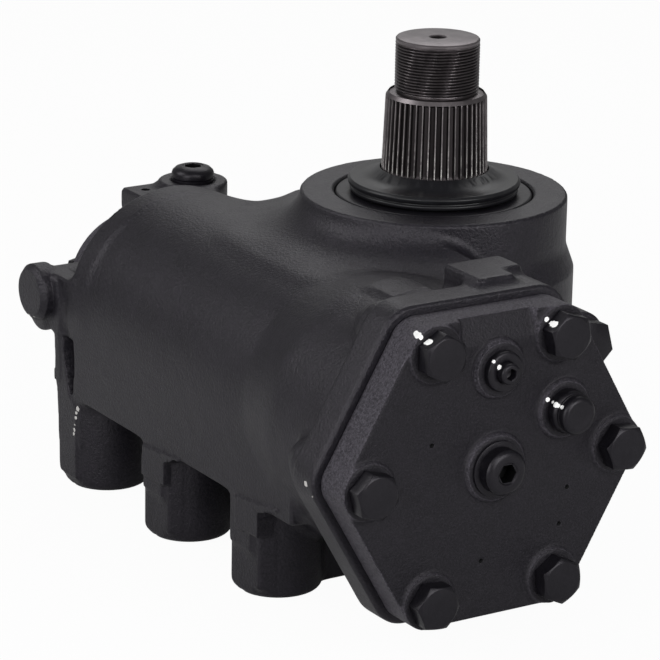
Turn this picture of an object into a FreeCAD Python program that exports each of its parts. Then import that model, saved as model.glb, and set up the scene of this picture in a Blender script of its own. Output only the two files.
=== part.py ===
import FreeCAD, Part
import math
import os
import re
import Sketcher
from FreeCAD import Placement, Rotation, Vector

# Integral power steering gear of the recirculating-ball kind, for a heavy vehicle.
# X runs along the barrel towards the end cover, Z along the output shaft towards its thread.
# The origin is where the output shaft's axis meets the mounting plane under the feet.
# Positions marked "from the shaft" are X values measured from the output shaft's axis.

os.makedirs("parts", exist_ok=True)
doc = FreeCAD.newDocument("steering_gear")
sheet = doc.addObject("Spreadsheet::Sheet", "Sizes")

driving_sizes = [
    # overall layout
    ("sectorOffset", 92.0, "output shaft axis to barrel axis"),
    ("axisHeight", 110.0, "mounting plane to barrel axis"),
    ("jointFace", 181.0, "end cover joint, from the shaft"),
    ("barrelEnd", -155.0, "input end of the barrel, from the shaft"),
    # end cover and flange
    ("boltCircleRadius", 81.8, "end cover bolts"),
    ("coverCornerRadius", 15.8, "cover outline round each bolt"),
    ("coverThickness", 22.0, "cover plate"),
    ("coverSpigotDepth", 8.0, "cover spigot in the cylinder"),
    ("coverRecessRadius", 46.0, "hollow behind the cover"),
    ("coverRecessDepth", 13.0, "hollow behind the cover, from the spigot's end"),
    ("coverBevelDrop", 5.0, "bevel at the cover's upper edge"),
    ("coverBevelRun", 15.0, "height of that bevel"),
    ("boltPadRadius", 16.0, "raised pad under each bolt head"),
    ("boltPadHeight", 2.0, "raised pad under each bolt head"),
    ("flangeCornerRadius", 20.8, "flange outline round each bolt"),
    ("flangeThickness", 21.0, "housing flange"),
    ("lobeRadius", 16.0, "cast lobe behind each bolt"),
    ("lobeLength", 10.0, "cast lobe behind each bolt"),
    ("lobeTaper", 16.0, "tapered end of each lobe"),
    ("coverBoltRadius", 8.0, "cover bolt shank"),
    ("coverBoltLength", 50.0, "cover bolt under its head"),
    ("coverBoltHead", 10.0, "cover bolt head height"),
    ("coverBoltFlats", 24.0, "cover bolt head across flats"),
    ("tapExtra", 6.0, "tapped hole beyond the bolt's end"),
    ("fitGap", 0.05, "radial clearance of fitted parts"),
    ("freeGap", 0.3, "clearance between parts that don't touch"),
    # barrel
    ("boreRadius", 60.0, "cylinder bore"),
    ("boreEnd", -129.0, "end wall of the cylinder, from the shaft"),
    ("barrelRadius", 72.5, "barrel outside"),
    ("rimRadius", 73.6, "rim at the input end"),
    ("rimWidth", 18.0, "rim at the input end"),
    ("shoulderStart", 55.0, "start of the step in the barrel, from the shaft"),
    ("shoulderEnd", 95.0, "end of the step in the barrel, from the shaft"),
    ("shoulderRadius", 80.0, "barrel outside next to the flange"),
    ("castPadStart", 99.0, "plain raised pad on the shoulder, from the shaft"),
    ("castPadEnd", 129.0, "plain raised pad on the shoulder, from the shaft"),
    ("castPadNear", 20.0, "near edge of that pad, from the barrel axis"),
    ("castPadFar", 5.0, "far edge of that pad, from the barrel axis"),
    ("castPadRise", 2.0, "height of that pad"),
    ("wallReach", 73.0, "flat side wall, from the barrel axis"),
    ("wallDrop", 52.0, "side wall below the barrel axis"),
    ("wallStart", -147.0, "side wall, from the shaft"),
    ("wallEnd", 112.0, "side wall, from the shaft"),
    # valve end of the housing
    ("neckRadius", 46.0, "valve neck of the housing"),
    ("neckEnd", -198.0, "valve neck, from the shaft"),
    ("valveBoreRadius", 36.0, "valve bore"),
    ("lipRadius", 33.0, "bearing shoulder bore"),
    ("bearingFace", -134.0, "bearing shoulder, from the shaft"),
    ("bearingWidth", 16.0, "worm bearing"),
    ("sideBossX", -188.0, "round side boss, from the shaft"),
    ("sideBossZ", 7.0, "round side boss above the barrel axis"),
    ("sideBossRadius", 18.0, "round side boss"),
    ("sideBossFace", 82.0, "face of the side boss, from the barrel axis"),
    ("sideBossLength", 13.0, "side boss up to its waist"),
    ("sideNeckRadius", 14.5, "waist of the side boss"),
    ("portX", -187.0, "hydraulic ports, from the shaft"),
    ("portOffset", 34.0, "upper port from the barrel axis"),
    ("portBossRadius", 22.0, "port boss"),
    ("portBossTop", 66.0, "upper port face above the barrel axis"),
    ("returnBossReach", 69.0, "return port face from the barrel axis"),
    ("portRadius", 13.5, "port thread"),
    ("portDepth", 20.0, "port thread"),
    ("passageRadius", 4.5, "oil passages"),
    ("blockTop", 62.0, "cast block above the barrel axis"),
    ("blockStart", -204.0, "cast block, from the shaft"),
    ("blockEnd", -160.0, "cast block, from the shaft"),
    ("blockNear", -9.0, "cast block, from the barrel axis"),
    ("blockFar", 20.0, "cast block, from the barrel axis"),
    ("blockHoleRadius", 2.6, "small hole in the block"),
    ("ribThickness", 9.0, "end rib above the first foot"),
    ("ribEdge", -172.0, "end rib, from the shaft"),
    # feet
    ("footRadius", 26.5, "mounting foot"),
    ("footFlat", 23.6, "flat of the foot, from its axis"),
    ("footRow", 47.0, "front row of feet, from the barrel axis"),
    ("footFirst", -151.0, "first foot, from the shaft"),
    ("footSpacing", 103.0, "front row of feet"),
    ("rearFootReach", 106.0, "rear feet, each side of the shaft"),
    ("footRounding", 5.0, "lower edge of a foot"),
    ("footHeight", 72.0, "foot column"),
    ("rearFootHeight", 96.0, "rear foot column"),
    ("footHoleRadius", 9.2, "tapped hole in a foot"),
    ("footHoleDepth", 36.0, "tapped hole in a foot"),
    ("footPadWidth", 24.0, "raised pad on a foot's flat"),
    ("footPadHeight", 30.0, "raised pad on a foot's flat"),
    ("footPadRise", 2.0, "raised pad on a foot's flat"),
    ("footWebWidth", 26.0, "web behind a foot"),
    ("footWebLength", 66.0, "web behind a foot"),
    ("footWebLift", 1.5, "web above the mounting plane"),
    # output shaft boss
    ("bossRadius", 79.8, "output boss"),
    ("bossTop", 96.2, "output boss above the barrel axis"),
    ("bossLowRadius", 85.0, "lower part of the boss"),
    ("bossLowTop", 52.0, "lower part of the boss above the barrel axis"),
    ("bossTaper", 14.0, "blend between both parts of the boss"),
    ("bossBottom", 84.0, "boss below the barrel axis"),
    ("saddleRun", 38.0, "cast fillet between boss and barrel, along the barrel"),
    ("saddleRise", 23.0, "height of that fillet"),
    ("saddleNear", 16.0, "near edge of that fillet, from the barrel axis"),
    ("saddleOver", 28.0, "reach of that fillet beyond the barrel's wall"),
    ("chamberRadius", 61.0, "gear chamber"),
    ("chamberTop", 38.0, "gear chamber above the barrel axis"),
    ("shaftPassRadius", 37.5, "shaft opening above the chamber"),
    ("upperSeatFoot", 42.0, "upper bearing seat above the barrel axis"),
    ("upperBearingHeight", 32.0, "upper bearing"),
    ("upperRaceRadius", 45.0, "upper bearing outside"),
    ("sealSeatRadius", 48.0, "lip seal outside"),
    ("sealHeight", 10.0, "lip seal"),
    ("carrierRadius", 59.4, "ring let into the boss"),
    ("carrierHeight", 9.0, "ring let into the boss"),
    ("carrierInset", 0.6, "ring below the boss face"),
    # lug between flange and boss, and the boss beside the flange
    ("lugSetback", 9.0, "lug, behind the joint face"),
    ("lugLength", 36.0, "lug, along the barrel"),
    ("lugNear", 8.0, "lug, from the barrel axis"),
    ("lugFar", 46.0, "lug, from the barrel axis"),
    ("lugTop", 97.0, "lug above the barrel axis"),
    ("lugNotch", 14.0, "notch at the lug's corner"),
    ("cornerBossRadius", 17.0, "round boss beside the flange"),
    ("cornerBossReach", 97.5, "round boss, from the barrel axis"),
    ("cornerBossAngle", 29.0, "round boss above the level of the barrel axis"),
    ("cornerBossSetback", 19.5, "round boss, behind the joint face"),
    ("cornerBossLength", 44.0, "round boss"),
    ("blankFlats", 27.0, "blanking plug across flats"),
    ("blankHead", 11.0, "blanking plug head"),
    ("blankShank", 9.0, "blanking plug thread radius"),
    ("blankShankLength", 16.0, "blanking plug thread"),
    # plugs of the end cover
    ("plugRingRadius", 18.5, "ring round the centre plug"),
    ("plugRingHeight", 3.0, "ring round the centre plug"),
    ("plugHeadRadius", 13.0, "centre plug head"),
    ("plugHeadHeight", 9.0, "centre plug head"),
    ("plugShank", 9.0, "centre plug thread radius"),
    ("washerThickness", 1.5, "sealing washer"),
    ("plugSocketFlats", 10.0, "centre plug socket across flats"),
    ("limiterReach", 56.5, "limiter screw from the barrel axis"),
    ("limiterBossRadius", 15.5, "boss round the limiter screw"),
    ("limiterBossHeight", 4.0, "boss round the limiter screw"),
    ("limiterRingRadius", 11.5, "lock ring of the limiter screw"),
    ("limiterRingHeight", 4.5, "lock ring of the limiter screw"),
    ("limiterRadius", 6.0, "limiter screw"),
    ("limiterStand", 13.5, "limiter screw above the cover face"),
    ("limiterSocketFlats", 6.0, "limiter screw socket across flats"),
    ("capReach", 51.9, "capped valve from the barrel axis"),
    ("capAngle", 30.8, "capped valve above the level of the barrel axis"),
    ("capRingRadius", 16.0, "ring round the capped valve"),
    ("capRingHeight", 3.0, "ring round the capped valve"),
    ("capHeadRadius", 12.5, "capped valve step"),
    ("capHeadHeight", 7.0, "capped valve step"),
    ("capRadius", 11.0, "cap"),
    ("capHeight", 7.0, "cap"),
    ("capRounding", 3.0, "cap edge"),
    ("capShank", 8.0, "capped valve thread radius"),
    # output shaft
    ("journalRadius", 34.0, "upper journal"),
    ("lowerJournalRadius", 30.0, "lower journal"),
    ("hubRadius", 36.0, "shaft beside the teeth"),
    ("splineFoot", 109.0, "serrations above the barrel axis"),
    ("splineTop", 156.5, "top of the serrations above the barrel axis"),
    ("splineRadius", 31.5, "serrations at their foot"),
    ("splineTipRadius", 30.0, "serrations at their top"),
    ("splineDepth", 1.7, "serration depth"),
    ("splineCount", 48, "serrations"),
    ("threadRadius", 24.9, "end thread"),
    ("threadFoot", 160.0, "end thread above the barrel axis"),
    ("shaftTop", 189.2, "shaft end above the barrel axis"),
    ("shaftFoot", 78.0, "lower end below the barrel axis"),
    ("screwPocketRadius", 11.0, "pocket for the backlash screw"),
    ("screwPocketDepth", 14.0, "pocket for the backlash screw"),
    # rack and sector teeth
    ("pitchRadius", 50.0, "sector pitch circle"),
    ("fullTeeth", 12, "teeth on a full circle"),
    ("pressureAngle", 25.0, "rack flank"),
    ("toothRootFactor", 1.25, "dedendum over module"),
    ("toothPlay", 0.12, "gap at each flank"),
    ("sectorWidth", 64.0, "sector face width"),
    # piston and worm
    ("pistonStart", -88.0, "piston, from the shaft"),
    ("pistonEnd", 124.0, "piston, from the shaft"),
    ("rackHalf", 70.0, "flat that carries the rack"),
    ("pistonBoreEnd", 74.0, "blind worm bore, from the shaft"),
    ("ringWidth", 4.0, "piston ring"),
    ("ringDepth", 3.0, "piston ring"),
    ("ringSetback", 12.0, "piston ring from the piston's end"),
    ("ballRadius", 5.0, "recirculating ball"),
    ("ballPathRadius", 22.0, "centres of the balls"),
    ("wormLead", 14.0, "worm lead"),
    ("ballTurns", 3.0, "turns of the ball circuit"),
    ("ballCentre", -41.0, "middle of the ball circuit, from the shaft"),
    ("ballPitch", 10.3, "spacing of the balls"),
    ("grooveGap", 0.3, "ball groove over the ball radius"),
    ("wormTip", 30.0, "end of the worm, from the shaft"),
    ("wormJournal", 22.0, "worm journal"),
    ("wormNose", -157.0, "worm nose inside the valve sleeve, from the shaft"),
    ("shaftBore", 6.5, "bore for the torsion bar"),
    ("guideWidth", 24.0, "ball return guide"),
    ("guideHeight", 11.5, "ball return guide"),
    ("guideSeat", 44.0, "flat for the guide, from the barrel axis"),
    ("guideMargin", 9.0, "guide beyond the ball circuit"),
    # steering valve and input shaft
    ("sleeveStart", -188.0, "valve sleeve, from the shaft"),
    ("sleeveEnd", -152.0, "valve sleeve, from the shaft"),
    ("rotorRadius", 19.0, "valve rotor"),
    ("rotorEnd", -158.0, "valve rotor, from the shaft"),
    ("sealRingWidth", 2.4, "sleeve seal ring"),
    ("sealRingDepth", 2.2, "sleeve seal ring"),
    ("sealRingStep", 10.2, "spacing of the sleeve seal rings"),
    ("inputRadius", 12.5, "input shaft"),
    ("inputSplineRadius", 11.5, "input serrations"),
    ("inputSplineCount", 36, "input serrations"),
    ("inputSplineStart", -240.0, "outer end of the input shaft, from the shaft"),
    ("inputSplineEnd", -217.0, "inner end of the input serrations, from the shaft"),
    ("torsionRadius", 4.0, "torsion bar"),
    ("pinRadius", 1.9, "pins of the valve"),
    ("inputCoverRadius", 45.5, "input cover"),
    ("inputCoverThickness", 8.0, "input cover"),
    ("inputSpigotEnd", -190.0, "input cover spigot, from the shaft"),
    ("inputNeckRadius", 23.0, "input cover neck"),
    ("inputNeckEnd", -212.0, "input cover neck, from the shaft"),
    ("inputSeatRadius", 17.0, "needle bearing and seal outside"),
    ("inputBoltCircle", 41.0, "input cover bolts"),
    ("inputBoltRadius", 3.0, "input cover bolt shank"),
    ("inputBoltLength", 18.0, "input cover bolt"),
    # side cover
    ("sideCoverMargin", 8.0, "side cover outside its bolts' circle"),
    ("sideCoverThickness", 12.0, "side cover"),
    ("sideBoltMargin", 8.0, "side cover bolts outside the gear chamber"),
    ("sideBoltRadius", 5.0, "side cover bolt shank"),
    ("sideBoltLength", 32.0, "side cover bolt"),
    ("sideBoltHead", 6.4, "side cover bolt head"),
    ("sideBoltFlats", 16.0, "side cover bolt head across flats"),
    ("sideTubeRadius", 46.0, "bearing tube of the side cover"),
    ("sideTubeTop", 42.0, "bearing tube below the barrel axis"),
    ("lowerRaceRadius", 41.0, "lower bearing outside"),
    ("rollerRadius", 3.0, "sector shaft bearing roller"),
    ("lashRadius", 7.0, "backlash screw"),
    ("lashEnd", 106.5, "outer end of the screw below the barrel axis"),
    ("lockNutFlats", 22.0, "lock nut across flats"),
    ("lockNutHeight", 7.0, "lock nut"),
    # rubber parts
    ("dustLipRadius", 51.6, "lip of the dust seal"),
    ("dustLipHeight", 103.6, "lip of the dust seal above the barrel axis"),
    ("cordRadius", 1.5, "section of the seal rings"),
    # worked out from the sizes above
    ("sideBoltCircle", "=chamberRadius + sideBoltMargin", "side cover bolts"),
    ("sideCoverRadius", "=sideBoltCircle + sideCoverMargin", "side cover"),
    ("lugEnd", "=jointFace - lugSetback", "lug, from the shaft"),
    ("lugStart", "=lugEnd - lugLength", "lug, from the shaft"),
    ("cornerBossFace", "=jointFace - cornerBossSetback", "round boss, from the shaft"),
]

for row, (alias, value, note) in enumerate(driving_sizes, start=1):
    sheet.set(f"A{row}", alias)
    sheet.set(f"B{row}", str(value))
    sheet.setAlias(f"B{row}", alias)
    sheet.set(f"C{row}", note)
doc.recompute()

aliases = {alias for alias, value, note in driving_sizes}
word = re.compile(r"[A-Za-z_]\w*")


def bound(formula):
    """A formula with each alias pointed at its cell."""
    return word.sub(lambda m: "Sizes." + m.group(0) if m.group(0) in aliases else m.group(0), str(formula))


def size(alias):
    return float(sheet.get(alias))


def bind(item, **formulas):
    for name, formula in formulas.items():
        item.setExpression(name, bound(formula))


# Ways for a piece's own Z axis to point.
directions = {
    "X": Rotation(Vector(0, 1, 0), 90),
    "Y": Rotation(Vector(1, 0, 0), -90),
    "Z": Rotation(),
    "-X": Rotation(Vector(0, 1, 0), -90),
    "-Y": Rotation(Vector(1, 0, 0), 90),
    "-Z": Rotation(Vector(1, 0, 0), 180),
}


def place(item, at=(0, 0, 0), along="Z", spin=0):
    item.Placement = Placement(Vector(), directions[along] * Rotation(Vector(0, 0, 1), spin))
    for axis, formula in zip("xyz", at):
        item.setExpression(f"Placement.Base.{axis}", bound(formula))
    return item


def on_barrel(x=0, y=0, z=0):
    """A point given from the barrel axis, in the part's frame."""
    return x, f"{y} - sectorOffset", f"{z} + axisHeight"


def on_shaft(z=0):
    """A point on the output shaft's axis, at a height above the barrel axis."""
    return 0, 0, f"axisHeight + {z}"


# Part primitives

def cylinder(name, radius, height, at, along="Z"):
    item = doc.addObject("Part::Cylinder", name)
    bind(item, Radius=radius, Height=height)
    return place(item, at, along)


def cone(name, start_radius, end_radius, height, at, along="Z"):
    item = doc.addObject("Part::Cone", name)
    bind(item, Radius1=start_radius, Radius2=end_radius, Height=height)
    return place(item, at, along)


def box(name, low, high):
    item = doc.addObject("Part::Box", name)
    bind(item, Length=f"({high[0]}) - ({low[0]})", Width=f"({high[1]}) - ({low[1]})",
         Height=f"({high[2]}) - ({low[2]})")
    return place(item, low)


def fused(name, items):
    item = doc.addObject("Part::MultiFuse", name)
    item.Shapes = items
    return item


def cut(name, base, tool):
    item = doc.addObject("Part::Cut", name)
    item.Base = base
    item.Tool = tool
    return item


def common(name, items):
    item = doc.addObject("Part::MultiCommon", name)
    item.Shapes = items
    return item


def grouped(name, items):
    item = doc.addObject("Part::Compound", name)
    item.Links = items
    return item


def rounded(name, base, radius, wanted):
    """Fillet on the edges of base that wanted() picks."""
    doc.recompute()
    item = doc.addObject("Part::Fillet", name)
    item.Base = base
    item.Edges = [(i, radius, radius) for i, edge in enumerate(base.Shape.Edges, start=1) if wanted(edge)]
    return item


# PartDesign bodies

def origin_item(body, role):
    return next(item for item in body.Origin.OriginFeatures if item.Role == role)


def new_sketch(body, name, plane="XY_Plane", lift=0):
    sketch = body.newObject("Sketcher::SketchObject", name)
    sketch.AttachmentSupport = (origin_item(body, plane), [""])
    sketch.MapMode = "FlatFace"
    if lift:
        sketch.setExpression("AttachmentOffset.Base.z", bound(lift))
    return sketch


def outline(body, name, corners, plane="XY_Plane", lift=0):
    """A closed sketch whose corners are each held by two dimensions."""
    sketch = new_sketch(body, name, plane, lift)
    count = len(corners)
    start = [Vector(200 + 100 * math.cos(2 * math.pi * i / count), 100 * math.sin(2 * math.pi * i / count), 0)
             for i in range(count)]
    for i in range(count):
        sketch.addGeometry(Part.LineSegment(start[i], start[(i + 1) % count]), False)
    for i in range(count):
        sketch.addConstraint(Sketcher.Constraint("Coincident", i, 2, (i + 1) % count, 1))
    for i, (across, up) in enumerate(corners):
        for kind, now, formula in (("DistanceX", start[i].x, across), ("DistanceY", start[i].y, up)):
            index = sketch.addConstraint(Sketcher.Constraint(kind, -1, 1, i, 1, now))
            sketch.setExpression(f"Constraints[{index}]", bound(formula))
    return sketch


def ring_sketch(body, name, radius, centre=(0, 0), plane="XY_Plane", lift=0):
    """One circle held by its radius and centre."""
    sketch = new_sketch(body, name, plane, lift)
    sketch.addGeometry(Part.Circle(Vector(20, 20, 0), Vector(0, 0, 1), 10), False)
    for kind, formula in (("DistanceX", centre[0]), ("DistanceY", centre[1])):
        index = sketch.addConstraint(Sketcher.Constraint(kind, -1, 1, 0, 3, 20))
        sketch.setExpression(f"Constraints[{index}]", bound(formula))
    index = sketch.addConstraint(Sketcher.Constraint("Radius", 0, 10))
    sketch.setExpression(f"Constraints[{index}]", bound(radius))
    return sketch


def hexagon(body, name, corner_radius, centre=(0, 0), turn=0, lift=0):
    corners = [(f"{centre[0]} + ({corner_radius}) * cos({60 * i + turn})",
                f"{centre[1]} + ({corner_radius}) * sin({60 * i + turn})") for i in range(6)]
    return outline(body, name, corners, lift=lift)


def feature(body, kind, name, profile, **settings):
    item = body.newObject(f"PartDesign::{kind}", name)
    item.Profile = profile
    for key, value in settings.items():
        if isinstance(value, str) and key == "Length":
            item.setExpression(key, bound(value))
        else:
            setattr(item, key, value)
    body.Tip = item
    return item


def turned(name, corners, at=(0, 0, 0), along="Z", spin=0):
    """A body turned about its own Z axis: corners are radius and height."""
    body = doc.addObject("PartDesign::Body", name)
    sketch = outline(body, f"{name}_section", corners, "XZ_Plane")
    feature(body, "Revolution", f"{name}_turned", sketch, ReferenceAxis=(sketch, ["V_Axis"]), Angle=360.0)
    return place(body, at, along, spin)


def groove(body, name, corners):
    """A turned cut about the body's own Z axis."""
    sketch = outline(body, f"{name}_section", corners, "XZ_Plane")
    return feature(body, "Groove", name, sketch, ReferenceAxis=(sketch, ["V_Axis"]), Angle=360.0)


def patterned(body, name, originals, count, angle=360.0):
    item = body.newObject("PartDesign::PolarPattern", name)
    item.Originals = originals
    item.Axis = (origin_item(body, "Z_Axis"), [""])
    item.Angle = angle
    item.Occurrences = count
    body.Tip = item
    return item


def corner_rounding(body, name, base, radius, wanted):
    doc.recompute()
    edges = [f"Edge{i}" for i, edge in enumerate(base.Shape.Edges, start=1) if wanted(edge)]
    item = body.newObject("PartDesign::Fillet", name)
    item.Base = (base, edges)
    item.setExpression("Radius", bound(radius))
    body.Tip = item
    return item


def upright(edge):
    low, high = edge.Vertexes[0].Point, edge.Vertexes[-1].Point
    return abs(low.z - high.z) > 1 and (low - high).cross(Vector(0, 0, 1)).Length < 0.01


def hexagon_plate(name, corner_radius, thickness):
    """A six-sided plate rounded about the end cover bolts, with corners on its Y axis."""
    body = doc.addObject("PartDesign::Body", name)
    sketch = hexagon(body, f"{name}_outline", f"boltCircleRadius + {corner_radius} / cos(30)", turn=30)
    plate = feature(body, "Pad", f"{name}_plate", sketch, Length=thickness)
    corner_rounding(body, f"{name}_corners", plate, corner_radius, upright)
    return body


def bolts(name, count, circle, radius, length, flats, head, at, along, spin=0):
    """Hexagon bolts on a circle: heads above the XY plane, shanks below it."""
    body = doc.addObject("PartDesign::Body", name)
    body.AllowCompound = True
    shank = feature(body, "Pad", f"{name}_shank",
                    ring_sketch(body, f"{name}_shank_circle", f"{radius} - fitGap", (circle, 0)),
                    Length=length, Reversed=True)
    top = feature(body, "Pad", f"{name}_head",
                  hexagon(body, f"{name}_head_outline", f"{flats} / 2 / cos(30)", (circle, 0), 30),
                  Length=head)
    doc.recompute()
    patterned(body, f"{name}_around", [shank, top], count)
    return place(body, at, along, spin)


def seal_ring(name, radius, at, along="Z"):
    """A round-section ring; radius is its middle circle."""
    item = doc.addObject("Part::Torus", name)
    bind(item, Radius1=radius, Radius2="cordRadius")
    return place(item, at, along)


# Main housing

def foot(name, x, y, height, flat_side):
    """A round mounting foot; the front feet have a flat with a raised pad on it."""
    column = cylinder(f"{name}_column", "footRadius", height, (x, y, 0))
    column = rounded(f"{name}_rounded", column, size("footRounding"),
                     lambda edge: edge.Closed and abs(edge.BoundBox.ZMax) < 0.01)
    if not flat_side:
        return [column]
    side = box(f"{name}_side", (f"{x} - 2 * footRadius", f"{y} - 3 * footRadius", -1),
               (f"{x} + 2 * footRadius", f"{y} - footFlat", f"{height} + 1"))
    pad = box(f"{name}_pad", (f"{x} - footPadWidth / 2", f"{y} - footFlat - footPadRise",
                              f"{height} - footPadHeight - 14"), (f"{x} + footPadWidth / 2", y, height))
    return [cut(f"{name}_flatted", column, side), pad]


front_y = "-sectorOffset - footRow"
front_feet = [f"footFirst + {i} * footSpacing" for i in range(3)]
rear_feet = ["-rearFootReach", "rearFootReach"]

outside = [cylinder("barrel", "barrelRadius", "shoulderEnd - barrelEnd", on_barrel("barrelEnd"), "X"),
           cylinder("barrel_rim", "rimRadius", "rimWidth", on_barrel("barrelEnd"), "X"),
           cone("barrel_step", "barrelRadius", "shoulderRadius", "shoulderEnd - shoulderStart",
                on_barrel("shoulderStart"), "X"),
           cylinder("barrel_shoulder", "shoulderRadius", "jointFace - shoulderEnd - 1",
                    on_barrel("shoulderEnd"), "X"),
           cylinder("valve_neck", "neckRadius", "barrelEnd - neckEnd + 5", on_barrel("neckEnd"), "X"),
           box("side_wall", on_barrel("wallStart", "-wallReach", "-wallDrop"),
               on_barrel("wallEnd", "40", "0")), cylinder("boss", "bossRadius", "bossTop + bossBottom",
                                                          on_shaft("-bossBottom")),
           cylinder("boss_low", "bossLowRadius", "bossLowTop + bossBottom", on_shaft("-bossBottom")),
           cone("boss_blend", "bossLowRadius", "bossRadius", "bossTaper", on_shaft("bossLowTop")), ]
pad_ring = cylinder("cast_pad_ring", "shoulderRadius + castPadRise", "castPadEnd - castPadStart",
                    on_barrel("castPadStart"), "X")
pad_side = box("cast_pad_side", on_barrel("castPadStart - 1", "-castPadNear", "shoulderRadius / 2"),
               on_barrel("castPadEnd + 1", "castPadFar", "shoulderRadius + castPadRise + 1"))
outside.append(common("cast_pad", [pad_ring, pad_side]))
flange = place(hexagon_plate("flange", "flangeCornerRadius", "flangeThickness"),
               on_barrel("jointFace - flangeThickness"), "X")
outside.append(flange)

for i in range(6):
    across = f"boltCircleRadius * cos({60 * i})"
    up = f"boltCircleRadius * sin({60 * i})"
    outside.append(cylinder(f"lobe_{i}", "lobeRadius", "lobeLength",
                            on_barrel("jointFace - flangeThickness - lobeLength", across, up), "X"))
    outside.append(cone(f"lobe_end_{i}", "lobeRadius", "lobeRadius / 2", "lobeTaper",
                        on_barrel("jointFace - flangeThickness - lobeLength", across, up), "-X"))

# The saddle is a cast fillet between the output boss and the barrel: a quarter ellipse turned
# about the shaft and kept to the barrel's upper side.
saddle_curve = [(f"bossRadius + saddleRun * (1 - cos({angle}))", f"bossTop - 1 - saddleRise * sin({angle})")
                for angle in range(0, 91, 10)]
saddle_turned = turned("saddle_turned", [(0, "bossTop - 1")] + saddle_curve +
                       [("bossRadius + saddleRun", "bossTop / 2"), (0, "bossTop / 2")], on_shaft("0"))
saddle_span = cylinder("saddle_span", "barrelRadius + saddleOver", "2 * (bossRadius + saddleRun) + 2",
                       on_barrel("-bossRadius - saddleRun - 1"), "X")
saddle_side = box("saddle_side", on_barrel("-bossRadius - saddleRun - 1", "-saddleNear", "bossTop / 2 - 1"),
                  on_barrel("bossRadius + saddleRun + 1", "sectorOffset", "bossTop"))
outside.append(common("saddle", [saddle_turned, saddle_span, saddle_side]))

for i, x in enumerate(front_feet, start=1):
    outside += foot(f"foot_{i}", x, front_y, "footHeight", True)
for i, (x, arm) in enumerate(zip(rear_feet, (("-rearFootReach", "-bossRadius + 8"),
                                             ("bossRadius - 8", "rearFootReach"))), start=4):
    outside += foot(f"foot_{i}", x, "0", "rearFootHeight", False)
    outside.append(cone(f"foot_cap_{i}", "footRadius", "footRadius / 2", "footRadius / 2",
                        (x, 0, "rearFootHeight")))
    outside.append(box(f"foot_web_{i}", (f"{x} - footWebWidth / 2", "-sectorOffset + 20",
                                         "rearFootHeight / 2"),
                       (f"{x} + footWebWidth / 2", "0", "rearFootHeight")))
    outside.append(box(f"foot_arm_{i}", (arm[0], "-footWebWidth / 2", "axisHeight - bossBottom + 8"),
                       (arm[1], "footWebWidth / 2", "rearFootHeight")))
for i, x in enumerate(front_feet[1:], start=2):
    outside.append(box(f"foot_web_{i}", (f"{x} - footWebWidth / 2", front_y, "footWebLift"),
                       (f"{x} + footWebWidth / 2", f"{front_y} + footWebLength", "footHeight")))

# End rib, side boss, port bosses and block at the input end
outside += [box("end_rib", on_barrel("ribEdge", "-wallReach - 1", "-footRow"),
                on_barrel("ribEdge + ribThickness", "-footRow - 12", "sideBossZ")),
            box("end_web", on_barrel("ribEdge", "-footRow - 19", "-footRow"),
                on_barrel("wallStart + 2", "-footRow - 11", "sideBossZ + sideNeckRadius")),
            cylinder("side_boss", "sideBossRadius", "sideBossLength",
                     on_barrel("sideBossX", "-sideBossFace", "sideBossZ"), "Y"),
            cone("side_boss_waist", "sideBossRadius", "sideNeckRadius", 4,
                 on_barrel("sideBossX", "-sideBossFace + sideBossLength", "sideBossZ"), "Y"),
            cylinder("side_boss_root", "sideNeckRadius", "sideBossFace - sideBossLength - neckRadius + 20",
                     on_barrel("sideBossX", "-sideBossFace + sideBossLength", "sideBossZ"), "Y"),
            box("side_boss_arm", on_barrel("sideBossX", "-wallReach + 1", "sideBossZ - sideNeckRadius"),
                on_barrel("barrelEnd + 8", "-footRow - 11", "sideBossZ + sideNeckRadius")),
            cylinder("port_boss", "portBossRadius", "portBossTop - 10",
                     on_barrel("portX", "portOffset", "10")),
            cylinder("return_boss", "portBossRadius", "returnBossReach - 20", on_barrel("portX", "20", "0"),
                     "Y"), box("port_block", on_barrel("blockStart", "blockNear", "20"),
                               on_barrel("blockEnd", "blockFar", "blockTop")), ]

# Lug with a notched corner between the flange and the output boss
lug = box("lug_block", on_barrel("lugStart", "lugNear", "40"), on_barrel("lugEnd", "lugFar", "lugTop"))
lug_corner = box("lug_corner", on_barrel("lugEnd - lugNotch", "lugFar - lugNotch", "lugTop - 12"),
                 on_barrel("lugEnd + 1", "lugFar + 1", "lugTop + 1"))
outside.append(cut("lug", lug, lug_corner))

corner_boss_at = on_barrel("cornerBossFace", "cornerBossReach * cos(cornerBossAngle)",
                           "cornerBossReach * sin(cornerBossAngle)")
outside.append(cylinder("corner_boss", "cornerBossRadius", "cornerBossLength", corner_boss_at, "-X"))
outside.append(cone("corner_boss_end", "cornerBossRadius", "cornerBossRadius / 2", "cornerBossRadius",
                    on_barrel("cornerBossFace - cornerBossLength", "cornerBossReach * cos(cornerBossAngle)",
                              "cornerBossReach * sin(cornerBossAngle)"), "-X"))

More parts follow.
